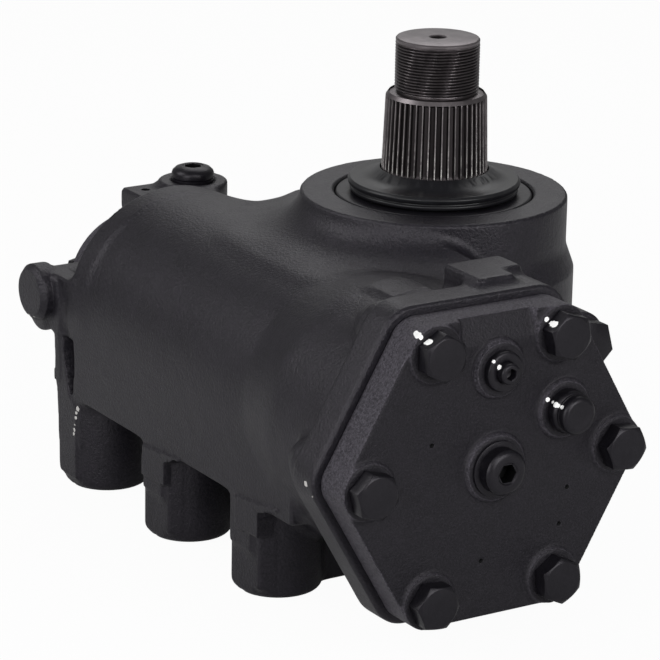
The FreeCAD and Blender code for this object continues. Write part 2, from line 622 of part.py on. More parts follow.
hollows = [cylinder("cylinder_bore", "boreRadius", "jointFace - boreEnd + 1", on_barrel("boreEnd"), "X"),
           cylinder("lip_bore", "lipRadius", "boreEnd - bearingFace + 2", on_barrel("bearingFace - 1"), "X"),
           cylinder("valve_bore", "valveBoreRadius", "bearingFace - neckEnd + 1", on_barrel("neckEnd - 1"),
                    "X"), cylinder("gear_chamber", "chamberRadius", "chamberTop + bossBottom + 1",
                                   on_shaft("-bossBottom - 1")),
           cylinder("shaft_pass", "shaftPassRadius", "bossTop", on_shaft("0")),
           cylinder("upper_seat", "upperRaceRadius", "bossTop - upperSeatFoot", on_shaft("upperSeatFoot")),
           cylinder("seal_seat", "sealSeatRadius", "bossTop - upperSeatFoot - upperBearingHeight",
                    on_shaft("upperSeatFoot + upperBearingHeight")),
           cylinder("carrier_seat", "carrierRadius", "carrierHeight + carrierInset + 1",
                    on_shaft("bossTop - carrierHeight - carrierInset")),
           cylinder("port_thread", "portRadius", "portDepth + 1",
                    on_barrel("portX", "portOffset", "portBossTop - portDepth")),
           cylinder("port_passage", "passageRadius", "portBossTop - 24",
                    on_barrel("portX + 4", "portOffset - 7", "8")),
           cylinder("return_thread", "portRadius", "portDepth + 1",
                    on_barrel("portX", "returnBossReach - portDepth", "0"), "Y"),
           cylinder("return_passage", "passageRadius", "returnBossReach - 30",
                    on_barrel("portX + 4", "20", "0"), "Y"),
           cylinder("block_hole", "blockHoleRadius", "12",
                    on_barrel("blockStart + 12", "2.5", "blockTop - 11")),
           cylinder("blank_thread", "blankShank", "blankShankLength + 3",
                    on_barrel("cornerBossFace + 1", "cornerBossReach * cos(cornerBossAngle)",
                              "cornerBossReach * sin(cornerBossAngle)"), "-X"),
           cylinder("input_cover_room", "inputCoverRadius + 3", "40", on_barrel("neckEnd"), "-X"),
           cylinder("blank_spotface", "blankFlats * 0.6", "jointFace - cornerBossFace + 1", corner_boss_at,
                    "X"), cylinder("snap_groove", "valveBoreRadius + 2", "1.4",
                                   on_barrel("bearingFace - bearingWidth - 1.5"), "X"), ]
for i in range(6):
    hollows.append(cylinder(f"cover_tap_{i}", "coverBoltRadius",
                            "coverBoltLength - coverThickness - boltPadHeight + tapExtra + 1",
                            on_barrel("jointFace + 1", f"boltCircleRadius * cos({60 * i})",
                                      f"boltCircleRadius * sin({60 * i})"), "-X"))
for i in range(8):
    hollows.append(cylinder(f"side_tap_{i}", "sideBoltRadius", "sideBoltLength - sideCoverThickness + 5",
                            (f"sideBoltCircle * cos({45 * i + 22.5})",
                             f"sideBoltCircle * sin({45 * i + 22.5})", "axisHeight - bossBottom - 1")))
for i in range(5):
    hollows.append(cylinder(f"input_tap_{i}", "inputBoltRadius", "inputBoltLength - inputCoverThickness + 4",
                            on_barrel("neckEnd - 1", f"inputBoltCircle * cos({72 * i + 18})",
                                      f"inputBoltCircle * sin({72 * i + 18})"), "X"))
for i, x in enumerate(front_feet, start=1):
    hollows.append(cylinder(f"foot_tap_{i}", "footHoleRadius", "footHoleDepth + 1", (x, front_y, -1)))
for i, x in enumerate(rear_feet, start=4):
    hollows.append(cylinder(f"foot_tap_{i}", "footHoleRadius", "footHoleDepth + 1", (x, 0, -1)))

housing = cut("housing", fused("housing_outside", outside), fused("housing_hollows", hollows))

# End cover

end_cover = hexagon_plate("end_cover", "coverCornerRadius", "coverThickness")
place(end_cover, on_barrel("jointFace"), "X")
bolt_pad = feature(end_cover, "Pad", "bolt_pad",
                   ring_sketch(end_cover, "bolt_pad_circle", "boltPadRadius", (0, "boltCircleRadius")),
                   Length="coverThickness + boltPadHeight")
doc.recompute()
patterned(end_cover, "bolt_pads", [bolt_pad], 6)
for name, radius, height, centre in (("plug_ring", "plugRingRadius", "plugRingHeight", (0, 0)),
                                     ("limiter_boss", "limiterBossRadius", "limiterBossHeight",
                                      ("-limiterReach", 0)),
                                     ("cap_ring", "capRingRadius", "capRingHeight",
                                      ("-capReach * sin(capAngle)", "capReach * cos(capAngle)"))):
    feature(end_cover, "Pad", name, ring_sketch(end_cover, f"{name}_circle", radius, centre),
            Length=f"coverThickness + {height}")
feature(end_cover, "Pad", "cover_spigot", ring_sketch(end_cover, "spigot_circle", "boreRadius - fitGap"),
        Length="coverSpigotDepth", Reversed=True)
groove(end_cover, "cover_recess", [(0, "-coverSpigotDepth - 1"),
                                   ("coverRecessRadius", "-coverSpigotDepth - 1"),
                                   ("coverRecessRadius", "coverRecessDepth - coverSpigotDepth"),
                                   (0, "coverRecessDepth - coverSpigotDepth")])
groove(end_cover, "cover_seal_groove",
       [("boreRadius - 2 * cordRadius - freeGap", "-coverSpigotDepth / 2 - cordRadius - 0.1"),
        ("boreRadius + 1", "-coverSpigotDepth / 2 - cordRadius - 0.1"),
        ("boreRadius + 1", "-coverSpigotDepth / 2 + cordRadius + 0.1"),
        ("boreRadius - 2 * cordRadius - freeGap", "-coverSpigotDepth / 2 + cordRadius + 0.1")])
bevel_edge = "boltCircleRadius * cos(30) + coverCornerRadius"
bevel = outline(end_cover, "bevel_section",
                [(f"-({bevel_edge} - coverBevelRun)", "coverThickness"),
                 (f"-({bevel_edge} + 3)", "coverThickness - coverBevelDrop * (1 + 3 / coverBevelRun)"),
                 (f"-({bevel_edge} + 3)", "coverThickness + 1"),
                 (f"-({bevel_edge} - coverBevelRun)", "coverThickness + 1")], "XZ_Plane")
feature(end_cover, "Pocket", "cover_bevel", bevel, Length="boltCircleRadius - 2 * boltPadRadius",
        Midplane=True)
cover_hole = feature(end_cover, "Pocket", "bolt_hole",
                     ring_sketch(end_cover, "bolt_hole_circle", "coverBoltRadius + 0.5",
                                 (0, "boltCircleRadius")), Length="coverThickness + boltPadHeight + 1",
                     Reversed=True)
doc.recompute()
patterned(end_cover, "bolt_holes", [cover_hole], 6)
for name, radius, centre in (
        ("plug_hole", "plugShank", (0, 0)),
        ("limiter_hole", "limiterRadius", ("-limiterReach", 0)),
        ("cap_hole", "capShank", ("-capReach * sin(capAngle)", "capReach * cos(capAngle)"))):
    feature(end_cover, "Pocket", name, ring_sketch(end_cover, f"{name}_circle", radius, centre, lift=0),
            Length="coverThickness + 10", Reversed=True)

end_cover_seal = seal_ring("end_cover_seal", "boreRadius - cordRadius - fitGap",
                           on_barrel("jointFace - coverSpigotDepth / 2"), "X")
end_cover_bolts = bolts("end_cover_bolts", 6, "boltCircleRadius", "coverBoltRadius", "coverBoltLength",
                        "coverBoltFlats", "coverBoltHead",
                        on_barrel("jointFace + coverThickness + boltPadHeight"), "X", 90)


def socket_plug(name, corners, flats, depth, at, along):
    """A turned plug with a hexagon socket; its outer face lies on the XY plane."""
    body = turned(name, corners, at, along)
    feature(body, "Pocket", f"{name}_socket", hexagon(body, f"{name}_socket_outline",
                                                      f"{flats} / 2 / cos(30)"), Length=depth)
    return body


plug_stand = "plugRingHeight + washerThickness + plugHeadHeight"
centre_plug = socket_plug("centre_plug", [(0, 0), ("plugHeadRadius - 1.5", 0), ("plugHeadRadius", -1.5),
                                          ("plugHeadRadius", "-plugHeadHeight"),
                                          ("plugShank - fitGap", "-plugHeadHeight"),
                                          ("plugShank - fitGap",
                                           f"-({plug_stand}) - coverThickness / 2 + 1"),
                                          (0, f"-({plug_stand}) - coverThickness / 2 + 1")],
                          "plugSocketFlats", "plugHeadHeight - 2",
                          on_barrel(f"jointFace + coverThickness + {plug_stand}"), "X")
plug_washer = turned(
    "centre_plug_washer",
    [("plugShank + 0.2", 0), ("plugRingRadius - 2.5", 0), ("plugRingRadius - 2.5", "washerThickness"),
     ("plugShank + 0.2", "washerThickness")],
    on_barrel("jointFace + coverThickness + plugRingHeight"), "X")

limiter_screw = socket_plug("limiter_screw", [(0, 0), ("limiterRadius - 1", 0),
                                              ("limiterRadius - fitGap", -1),
                                              ("limiterRadius - fitGap",
                                               "-limiterStand - coverThickness + 4"),
                                              (0, "-limiterStand - coverThickness + 4")],
                            "limiterSocketFlats", "5",
                            on_barrel("jointFace + coverThickness + limiterStand", 0, "limiterReach"), "X")
limiter_ring = turned(
    "limiter_lock_ring",
    [("limiterRadius", 0), ("limiterRingRadius", 0), ("limiterRingRadius", "limiterRingHeight - 1"),
     ("limiterRingRadius - 1", "limiterRingHeight"), ("limiterRadius", "limiterRingHeight")],
    on_barrel("jointFace + coverThickness + limiterBossHeight", 0, "limiterReach"), "X")

cap_at = ("capReach * cos(capAngle)", "capReach * sin(capAngle)")
relief_valve = turned("relief_valve", [(0, 0), ("capHeadRadius", 0), ("capHeadRadius", "capHeadHeight - 2"),
                                       ("capHeadRadius - 1.5", "capHeadHeight"), (0, "capHeadHeight")],
                      on_barrel("jointFace + coverThickness + capRingHeight", *cap_at), "X")
feature(relief_valve, "Pad", "relief_valve_thread",
        ring_sketch(relief_valve, "relief_thread_circle", "capShank - fitGap"),
        Length="coverThickness + capRingHeight - 4", Reversed=True)
relief_cap = turned(
    "relief_valve_cap",
    [(0, 0), ("capRadius", 0), ("capRadius", "capHeight"), (0, "capHeight")],
    on_barrel("jointFace + coverThickness + capRingHeight + capHeadHeight", *cap_at), "X")
corner_rounding(relief_cap, "relief_cap_dome", relief_cap.Tip, "capRounding",
                lambda edge: edge.Closed and edge.BoundBox.ZMin > size("capHeight") - 0.1)

blanking_plug = doc.addObject("PartDesign::Body", "blanking_plug")
feature(blanking_plug, "Pad", "blank_head", hexagon(blanking_plug, "blank_outline",
                                                    "blankFlats / 2 / cos(30)", turn=15),
        Length="blankHead")
feature(blanking_plug, "Pad", "blank_shank", ring_sketch(blanking_plug, "blank_circle",
                                                         "blankShank - fitGap"), Length="blankShankLength",
        Reversed=True)
place(blanking_plug, corner_boss_at, "X")

port_plug = socket_plug(
    "port_plug",
    [(0, 0), ("portRadius - 2", 0), ("portRadius - fitGap", -2), ("portRadius - fitGap", "-portDepth - 7"),
     (0, "-portDepth - 7")],
    "plugSocketFlats", "8", on_barrel("portX", "portOffset", "portBossTop + 9"), "Z")

# Output shaft with its gear sector


def star_wire(name, outer, inner, count, height):
    """A closed line round a serrated section, each serration with a flat crest."""
    points = []
    for i in range(count):
        for turn, radius in ((-0.32, inner), (-0.18, outer), (0.18, outer), (0.32, inner)):
            angle = 2 * math.pi * (i + turn) / count
            points.append(Vector(radius * math.cos(angle), radius * math.sin(angle), height))
    item = doc.addObject("Part::Feature", name)
    item.Shape = Part.makePolygon(points + points[:1])
    return item


def serrations(name, foot_radius, tip_radius, depth, count, height):
    """Tapered serrations between two star-shaped sections."""
    item = doc.addObject("Part::Loft", name)
    item.Sections = [star_wire(f"{name}_foot", foot_radius, foot_radius - depth, count, 0),
                     star_wire(f"{name}_tip", tip_radius, tip_radius - depth, count, height)]
    item.Solid = True
    item.Ruled = True
    return item


def involute(base, radius, start):
    """A point on the involute of a base circle, at a radius, with its root at the angle start."""
    roll = math.sqrt((radius / base) ** 2 - 1)
    angle = start + roll - math.atan(roll)
    return Vector(radius * math.cos(angle), radius * math.sin(angle), 0)


def sector_teeth(name):
    """Five involute teeth on a fan, facing the rack on the -Y side."""
    pitch = size("pitchRadius")
    module = 2 * pitch / size("fullTeeth")
    slope = math.radians(size("pressureAngle"))
    base = pitch * math.cos(slope)
    tip = pitch + module
    root = pitch - size("toothRootFactor") * module
    half_tooth = math.pi / (2 * size("fullTeeth")) - size("toothPlay") / pitch + math.tan(slope) - slope
    steps = 6
    edges = []
    previous = None
    for number in range(-2, 3):
        middle = -math.pi / 2 + number * 2 * math.pi / size("fullTeeth")
        rising = [involute(base, base + (tip - base) * i / steps, middle - half_tooth)
                  for i in range(steps + 1)]
        across = Vector(math.cos(2 * middle), math.sin(2 * middle), 0)
        falling = [Vector(p.x * across.x + p.y * across.y, p.x * across.y - p.y * across.x, 0)
                   for p in rising]
        foot_in = Vector(root * math.cos(middle - half_tooth), root * math.sin(middle - half_tooth), 0)
        foot_out = Vector(root * math.cos(middle + half_tooth), root * math.sin(middle + half_tooth), 0)
        if previous is None:
            edges.append(Part.makeLine(Vector(), foot_in))
        else:
            gap = middle - math.pi / size("fullTeeth")
            edges.append(Part.Arc(previous, Vector(root * math.cos(gap), root * math.sin(gap), 0),
                                  foot_in).toShape())
        flank = Part.BSplineCurve()
        flank.interpolate(rising)
        edges += [Part.makeLine(foot_in, rising[0]), flank.toShape()]
        edges.append(Part.Arc(rising[-1], Vector(tip * math.cos(middle), tip * math.sin(middle), 0),
                              falling[-1]).toShape())
        flank = Part.BSplineCurve()
        flank.interpolate(falling[::-1])
        edges += [flank.toShape(), Part.makeLine(falling[0], foot_out)]
        previous = foot_out
    edges.append(Part.makeLine(previous, Vector()))
    face = Part.Face(Part.Wire(edges))
    item = doc.addObject("Part::Feature", name)
    item.Shape = face.extrude(Vector(0, 0, size("sectorWidth")))
    return place(item, (0, 0, "axisHeight - sectorWidth / 2"))


shaft_core = turned("shaft_core", [(0, "-shaftFoot + screwPocketDepth"),
                                   ("screwPocketRadius", "-shaftFoot + screwPocketDepth"),
                                   ("screwPocketRadius", "-shaftFoot"),
                                   ("lowerJournalRadius - 2", "-shaftFoot"),
                                   ("lowerJournalRadius", "-shaftFoot + 2"),
                                   ("lowerJournalRadius", "-sectorWidth / 2 - 6"),
                                   ("hubRadius", "-sectorWidth / 2 - 2"),
                                   ("hubRadius", "sectorWidth / 2 + 3"),
                                   ("journalRadius", "sectorWidth / 2 + 6"),
                                   ("journalRadius", "splineFoot - 5"),
                                   ("splineRadius + 0.3", "splineFoot - 1"),
                                   ("splineTipRadius - splineDepth - 1", "splineFoot"),
                                   ("splineTipRadius - splineDepth - 1", "splineTop"),
                                   ("threadRadius - 1.6", "splineTop"),
                                   ("threadRadius - 1.6", "threadFoot - 1.6"),
                                   ("threadRadius", "threadFoot"), ("threadRadius", "shaftTop - 2.4"),
                                   ("threadRadius - 2.4", "shaftTop"), (5, "shaftTop"),
                                   (2.2, "shaftTop - 4.5"), (0, "shaftTop - 4.5")], on_shaft("0"))
output_serrations = serrations("output_serrations", size("splineRadius"), size("splineTipRadius"),
                               size("splineDepth"), int(size("splineCount")),
                               size("splineTop") - size("splineFoot"))
place(output_serrations, on_shaft("splineFoot"))
sector_shaft = fused("sector_shaft", [shaft_core, output_serrations, sector_teeth("sector_teeth")])

dust_seal = turned("dust_seal", [("splineRadius + 1", "splineFoot + 1.5"),
                                 ("splineRadius + 1", "splineFoot"),
                                 ("journalRadius + 0.1", "splineFoot - 4.8"),
                                 ("journalRadius + 0.1", "bossTop + 0.6"),
                                 ("journalRadius + 9", "bossTop + 0.6"),
                                 ("dustLipRadius - 8", "dustLipHeight - 4"),
                                 ("dustLipRadius - 5", "dustLipHeight - 4"),
                                 ("dustLipRadius - 4", "bossTop + 0.2"),
                                 ("dustLipRadius - 2.2", "bossTop + 0.2"),
                                 ("dustLipRadius - 1.4", "bossTop + 1.4"),
                                 ("dustLipRadius - 1.4", "bossTop + 2.6"),
                                 ("dustLipRadius - 2.4", "bossTop + 3.2"),
                                 ("dustLipRadius - 2.4", "bossTop + 4"),
                                 ("dustLipRadius - 0.5", "bossTop + 4.6"),
                                 ("dustLipRadius", "dustLipHeight - 0.6"),
                                 ("dustLipRadius - 1.5", "dustLipHeight + 1"),
                                 ("journalRadius + 12", "dustLipHeight + 0.6"),
                                 ("journalRadius + 4", "dustLipHeight + 2.5")], on_shaft("0"))

# Seals and bearings of the output shaft

seal_carrier = turned("seal_carrier", [("journalRadius + 3", "bossTop - carrierHeight - carrierInset"),
                                       ("carrierRadius - fitGap - 0.6",
                                        "bossTop - carrierHeight - carrierInset"),
                                       ("carrierRadius - fitGap - 0.6", "bossTop - carrierInset - 1"),
                                       ("carrierRadius - 1.8", "bossTop - carrierInset"),
                                       ("journalRadius + 9.5", "bossTop - carrierInset"),
                                       ("journalRadius + 9.5", "bossTop - carrierInset - 3"),
                                       ("journalRadius + 3", "bossTop - carrierInset - 3")], on_shaft("0"))
shaft_seal = turned("sector_shaft_seal", [("journalRadius + 0.1", 3), ("journalRadius + 2", 0),
                                          ("sealSeatRadius - fitGap", 0),
                                          ("sealSeatRadius - fitGap", "sealHeight"),
                                          ("journalRadius + 2", "sealHeight"), ("journalRadius + 2", 5)],
                    on_shaft("upperSeatFoot + upperBearingHeight + freeGap"))


def roller_bearing(name, shaft_radius, race_radius, foot_height, height, count):
    """A race and a ring of caged rollers round the output shaft."""
    rollers = doc.addObject("PartDesign::Body", f"{name}_rollers")
    rollers.AllowCompound = True
    path = f"{shaft_radius} + rollerRadius + fitGap"
    roller = feature(rollers, "Pad", f"{name}_roller",
                     ring_sketch(rollers, f"{name}_roller_circle", "rollerRadius", (path, 0)),
                     Length=f"({height}) - 4")
    doc.recompute()
    patterned(rollers, f"{name}_rollers_around", [roller], count)
    place(rollers, on_shaft(f"{foot_height} + 2"))
    race = turned(f"{name}_race", [(f"{shaft_radius} + 2 * rollerRadius + 2 * fitGap", 1),
                                   (f"{shaft_radius} + 2 * rollerRadius + 2 * fitGap", f"({height}) - 1"),
                                   (f"{shaft_radius} + 1.5", f"({height}) - 1"),
                                   (f"{shaft_radius} + 1.5", height), (f"{race_radius} - fitGap", height),
                                   (f"{race_radius} - fitGap", 0), (f"{shaft_radius} + 1.5", 0),
                                   (f"{shaft_radius} + 1.5", 1)], on_shaft(foot_height))
    return rollers, race


upper_rollers, upper_race = roller_bearing("upper_bearing", "journalRadius", "upperRaceRadius",
                                           "upperSeatFoot", "upperBearingHeight", 16)
lower_rollers, lower_race = roller_bearing("lower_bearing", "lowerJournalRadius", "lowerRaceRadius",
                                           "-shaftFoot + 4", "shaftFoot - sideTubeTop - 8", 14)

# Side cover under the output shaft, with the backlash screw

side_cover = turned("side_cover", [("lashRadius", "-sideCoverThickness"),
                                   ("sideCoverRadius - 2", "-sideCoverThickness"),
                                   ("sideCoverRadius", "-sideCoverThickness + 2"), ("sideCoverRadius", 0),
                                   ("chamberRadius - fitGap", 0), ("chamberRadius - fitGap", 2),
                                   ("chamberRadius - 2 * cordRadius - freeGap", 2),
                                   ("chamberRadius - 2 * cordRadius - freeGap", "2 + 2 * cordRadius + 0.2"),
                                   ("chamberRadius - fitGap", "2 + 2 * cordRadius + 0.2"),
                                   ("chamberRadius - fitGap", "4 + 2 * cordRadius"),
                                   ("sideTubeRadius", "4 + 2 * cordRadius"),
                                   ("sideTubeRadius", "bossBottom - sideTubeTop"),
                                   ("lowerRaceRadius", "bossBottom - sideTubeTop"),
                                   ("lowerRaceRadius", "bossBottom - shaftFoot + 4"),
                                   ("lowerJournalRadius", "bossBottom - shaftFoot + 4"),
                                   ("lowerJournalRadius", 1), ("lashRadius", 1)], on_shaft("-bossBottom"))
side_hole = feature(side_cover, "Pocket", "side_bolt_hole",
                    ring_sketch(side_cover, "side_hole_circle", "sideBoltRadius + 0.4",
                                ("sideBoltCircle", 0)), Length="sideCoverThickness + 1")
doc.recompute()
patterned(side_cover, "side_bolt_holes", [side_hole], 8)
place(side_cover, on_shaft("-bossBottom"), "Z", 22.5)
side_cover_seal = seal_ring("side_cover_seal", "chamberRadius - cordRadius - fitGap",
                            on_shaft("-bossBottom + 2.1 + cordRadius"))
side_cover_bolts = bolts("side_cover_bolts", 8, "sideBoltCircle", "sideBoltRadius", "sideBoltLength",
                         "sideBoltFlats", "sideBoltHead", on_shaft("-bossBottom - sideCoverThickness"), "-Z",
                         22.5)

lash_screw = turned("lash_screw", [(0, 0), ("lashRadius - 1", 0), ("lashRadius - fitGap", 1),
                                   ("lashRadius - fitGap", "lashEnd - shaftFoot + 6"),
                                   ("screwPocketRadius - 0.5", "lashEnd - shaftFoot + 6"),
                                   ("screwPocketRadius - 0.5",
                                    "lashEnd - shaftFoot + screwPocketDepth - freeGap"),
                                   (0, "lashEnd - shaftFoot + screwPocketDepth - freeGap")],
                    on_shaft("-lashEnd"))
lash_retainer = turned("lash_retainer", [("lashRadius + 0.5", 0.1), ("screwPocketRadius - fitGap", 0.1),
                                         ("screwPocketRadius - fitGap", "6 - freeGap"),
                                         ("lashRadius + 0.5", "6 - freeGap")], on_shaft("-shaftFoot"))
lock_nut = doc.addObject("PartDesign::Body", "lash_lock_nut")
feature(lock_nut, "Pad", "lock_nut_prism", hexagon(lock_nut, "lock_nut_outline",
                                                   "lockNutFlats / 2 / cos(30)"), Length="lockNutHeight")
feature(lock_nut, "Pocket", "lock_nut_hole", ring_sketch(lock_nut, "lock_nut_circle", "lashRadius"),
        Length="lockNutHeight", Reversed=True)
place(lock_nut, on_shaft("-bossBottom - sideCoverThickness - lockNutHeight"))

# Piston with its ball nut and rack

piston = turned("piston", [("ballPathRadius + ballRadius + fitGap", "pistonStart"),
                           ("boreRadius - fitGap - 2", "pistonStart"),
                           ("boreRadius - fitGap", "pistonStart + 2"),
                           ("boreRadius - fitGap", "pistonEnd - ringSetback - ringWidth - 0.2"),
                           ("boreRadius - ringDepth - 0.4", "pistonEnd - ringSetback - ringWidth - 0.2"),
                           ("boreRadius - ringDepth - 0.4", "pistonEnd - ringSetback"),
                           ("boreRadius - fitGap", "pistonEnd - ringSetback"),
                           ("boreRadius - fitGap", "pistonEnd - 2"),
                           ("boreRadius - fitGap - 2", "pistonEnd"), ("boreRadius * 0.7", "pistonEnd"),
                           ("boreRadius * 0.62", "pistonEnd - 22"), (0, "pistonEnd - 22"),
                           (0, "pistonBoreEnd"), ("ballPathRadius + ballRadius + fitGap", "pistonBoreEnd")],
                on_barrel("0"), "X")
module_size = "(2 * pitchRadius / fullTeeth)"
tooth_pitch = f"(pi * {module_size})"
tip_line = f"(sectorOffset - pitchRadius + {module_size})"
root_line = f"(sectorOffset - pitchRadius - toothRootFactor * {module_size})"
tip_half = f"({tooth_pitch} / 4 + {module_size} * tan(pressureAngle) + toothPlay)"
root_half = f"({tooth_pitch} / 4 - toothRootFactor * {module_size} * tan(pressureAngle) + toothPlay)"
rack_line = [("boreRadius + 5", "-rackHalf"), (tip_line, "-rackHalf")]
for space in range(-2, 3):
    centre = f"{space} * {tooth_pitch}"
    rack_line += [(tip_line, f"{centre} - {tip_half}"), (root_line, f"{centre} - {root_half}"),
                  (root_line, f"{centre} + {root_half}"), (tip_line, f"{centre} + {tip_half}")]
rack_line += [(tip_line, "rackHalf"), ("boreRadius + 5", "rackHalf")]
feature(piston, "Pocket", "rack_teeth", outline(piston, "rack_line", rack_line, "YZ_Plane"),
        Length="3 * boreRadius", Midplane=True)
guide_half = "(ballTurns * wormLead / 2 + guideMargin)"
guide_seat = outline(piston, "guide_seat_outline",
                     [("-guideWidth / 2 - 1", f"ballCentre - {guide_half} - 1"),
                      ("guideWidth / 2 + 1", f"ballCentre - {guide_half} - 1"),
                      ("guideWidth / 2 + 1", f"ballCentre + {guide_half} + 1"),
                      ("-guideWidth / 2 - 1", f"ballCentre + {guide_half} + 1")], "XZ_Plane", "guideSeat")
feature(piston, "Pocket", "guide_seat", guide_seat, Length="boreRadius", Reversed=True)
for name, side in (("guide_leg_in", "-"), ("guide_leg_out", "+")):
    leg = ring_sketch(piston, f"{name}_circle", "ballRadius + grooveGap",
                      (0, f"ballCentre {side} ballTurns * wormLead / 2"), "XZ_Plane", "ballPathRadius - 4")
    feature(piston, "Pocket", name, leg, Length="boreRadius - ballPathRadius", Reversed=True)

piston_ring = turned("piston_ring", [("boreRadius - ringDepth", 0), ("boreRadius - 0.02", 0),
                                     ("boreRadius - 0.02", "ringWidth"),
                                     ("boreRadius - ringDepth", "ringWidth")],
                     on_barrel("pistonEnd - ringSetback - ringWidth - 0.1"), "X")

guide_block = box("guide_block", on_barrel(f"ballCentre - {guide_half}", "-guideSeat - guideHeight",
                                           "-guideWidth / 2"),
                  on_barrel(f"ballCentre + {guide_half}", "-guideSeat - 0.05", "guideWidth / 2"))
guide_legs = [cylinder(f"guide_tube_{i}", "ballRadius - 0.5", "guideSeat - ballPathRadius - ballRadius",
                       on_barrel(f"ballCentre {side} ballTurns * wormLead / 2", "-guideSeat - 1", "0"), "Y")
              for i, side in enumerate("-+")]
return_guide = fused("ball_return_guide", [guide_block] + guide_legs)

circuit_angle = 360 * size("ballTurns")
ball_step = math.degrees(size("ballPitch") / math.hypot(size("ballPathRadius"),
                                                        size("wormLead") / (2 * math.pi)))
ball_count = int(circuit_angle / ball_step)
balls = []
for i in range(ball_count):
    angle = -90 - circuit_angle / 2 + circuit_angle * (i + 0.5) / ball_count
    ball = doc.addObject("Part::Sphere", f"ball_{i}")
    bind(ball, Radius="ballRadius")
    balls.append(place(ball, on_barrel(f"ballCentre + wormLead * {angle + 90} / 360",
                                       f"ballPathRadius * cos({angle})", f"ballPathRadius * sin({angle})")))
ball_set = grouped("recirculating_balls", balls)

# Worm, its bearing, and the torsion bar

worm = turned("worm", [("shaftBore", "wormNose"), ("wormJournal - fitGap", "wormNose"),
                       ("wormJournal - fitGap", "bearingFace"), ("wormJournal + 3", "bearingFace"),
                       ("wormJournal + 3", "bearingFace + 3"),
                       ("ballPathRadius - ballRadius - grooveGap", "bearingFace + 6"),
                       ("ballPathRadius - ballRadius - grooveGap", "wormTip - 2"),
                       ("ballPathRadius - ballRadius - grooveGap - 2", "wormTip"), ("shaftBore", "wormTip")],
              on_barrel("0"), "X")

race_inner = turned("worm_bearing_inner", [("wormJournal", 0), ("wormJournal + 5", 0),
                                           ("wormJournal + 5", "bearingWidth / 2 - 3"),
                                           ("wormJournal + 3.4", "bearingWidth / 2 - 1.6"),
                                           ("wormJournal + 3.4", "bearingWidth / 2 + 1.6"),
                                           ("wormJournal + 5", "bearingWidth / 2 + 3"),
                                           ("wormJournal + 5", "bearingWidth"),
                                           ("wormJournal", "bearingWidth")],
                    on_barrel("bearingFace - bearingWidth"), "X")
race_outer = turned("worm_bearing_outer", [("valveBoreRadius - fitGap", 0),
                                           ("valveBoreRadius - fitGap", "bearingWidth"),
                                           ("valveBoreRadius - 4.5", "bearingWidth"),
                                           ("valveBoreRadius - 4.5", "bearingWidth / 2 + 3"),
                                           ("valveBoreRadius - 3", "bearingWidth / 2 + 1.6"),
                                           ("valveBoreRadius - 3", "bearingWidth / 2 - 1.6"),
                                           ("valveBoreRadius - 4.5", "bearingWidth / 2 - 3"),
                                           ("valveBoreRadius - 4.5", 0)],
                    on_barrel("bearingFace - bearingWidth"), "X")
bearing_balls = []
bearing_ball_count = 12
for i in range(bearing_ball_count):
    angle = 360 * i / bearing_ball_count
    ball = doc.addObject("Part::Sphere", f"bearing_ball_{i}")
    bind(ball, Radius="(valveBoreRadius - wormJournal - 6.4) / 2 - 0.15")
    path = "((valveBoreRadius + wormJournal + 0.4) / 2)"
    bearing_balls.append(place(ball, on_barrel("bearingFace - bearingWidth / 2", f"{path} * cos({angle})",
                                               f"{path} * sin({angle})")))
bearing_ball_set = grouped("worm_bearing_balls", bearing_balls)
retaining_ring = turned("bearing_retaining_ring",
                        [("valveBoreRadius - 4", 0), ("valveBoreRadius + 1.5", 0),
                         ("valveBoreRadius + 1.5", 1.2), ("valveBoreRadius - 4", 1.2)],
                        on_barrel("bearingFace - bearingWidth - 1.3"), "X")

bar_end = "(inputSplineEnd + 3)"
torsion_bar = turned("torsion_bar", [(0, f"{bar_end} - 4"), ("shaftBore - fitGap", f"{bar_end} - 4"),
                                     ("shaftBore - fitGap", f"{bar_end} + 12"),
                                     ("torsionRadius", f"{bar_end} + 18"), ("torsionRadius", "wormTip - 30"),
                                     ("shaftBore - fitGap", "wormTip - 24"),
                                     ("shaftBore - fitGap", "wormTip - 8"), (0, "wormTip - 8")],
                     on_barrel("0"), "X")

# Steering valve

sleeve = turned("valve_sleeve", [("rotorRadius", "sleeveStart"), ("valveBoreRadius - fitGap", "sleeveStart"),
                                 ("valveBoreRadius - fitGap", "sleeveEnd"), ("wormJournal", "sleeveEnd"),
                                 ("wormJournal", "wormNose - 0.2"), ("rotorRadius", "wormNose - 0.2")],
                on_barrel("0"), "X")
ring_heights = [f"(sleeveStart + 2.2 + {i} * sealRingStep)" for i in range(4)]
for i, foot_height in enumerate(ring_heights):
    groove(sleeve, f"sleeve_groove_{i}", [("valveBoreRadius - sealRingDepth", foot_height),
                                          ("valveBoreRadius + 1", foot_height),
                                          ("valveBoreRadius + 1", f"{foot_height} + sealRingWidth"),
                                          ("valveBoreRadius - sealRingDepth",
                                           f"{foot_height} + sealRingWidth")])
for i, foot_height in enumerate(ring_heights[:-1]):
    groove(sleeve, f"sleeve_channel_{i}", [("valveBoreRadius - 3", f"{foot_height} + sealRingWidth + 2"),
                                           ("valveBoreRadius + 1", f"{foot_height} + sealRingWidth + 2"),
                                           ("valveBoreRadius + 1", f"{foot_height} + sealRingStep - 2"),
                                           ("valveBoreRadius - 3", f"{foot_height} + sealRingStep - 2")])
middle_channel = f"{ring_heights[1]} + (sealRingStep + sealRingWidth) / 2"
sleeve_port = feature(sleeve, "Pocket", "sleeve_port",
                      ring_sketch(sleeve, "sleeve_port_circle", "2", (0, middle_channel), "XZ_Plane"),
                      Length="valveBoreRadius + 1", Reversed=True)
doc.recompute()
patterned(sleeve, "sleeve_ports", [sleeve_port], 6)
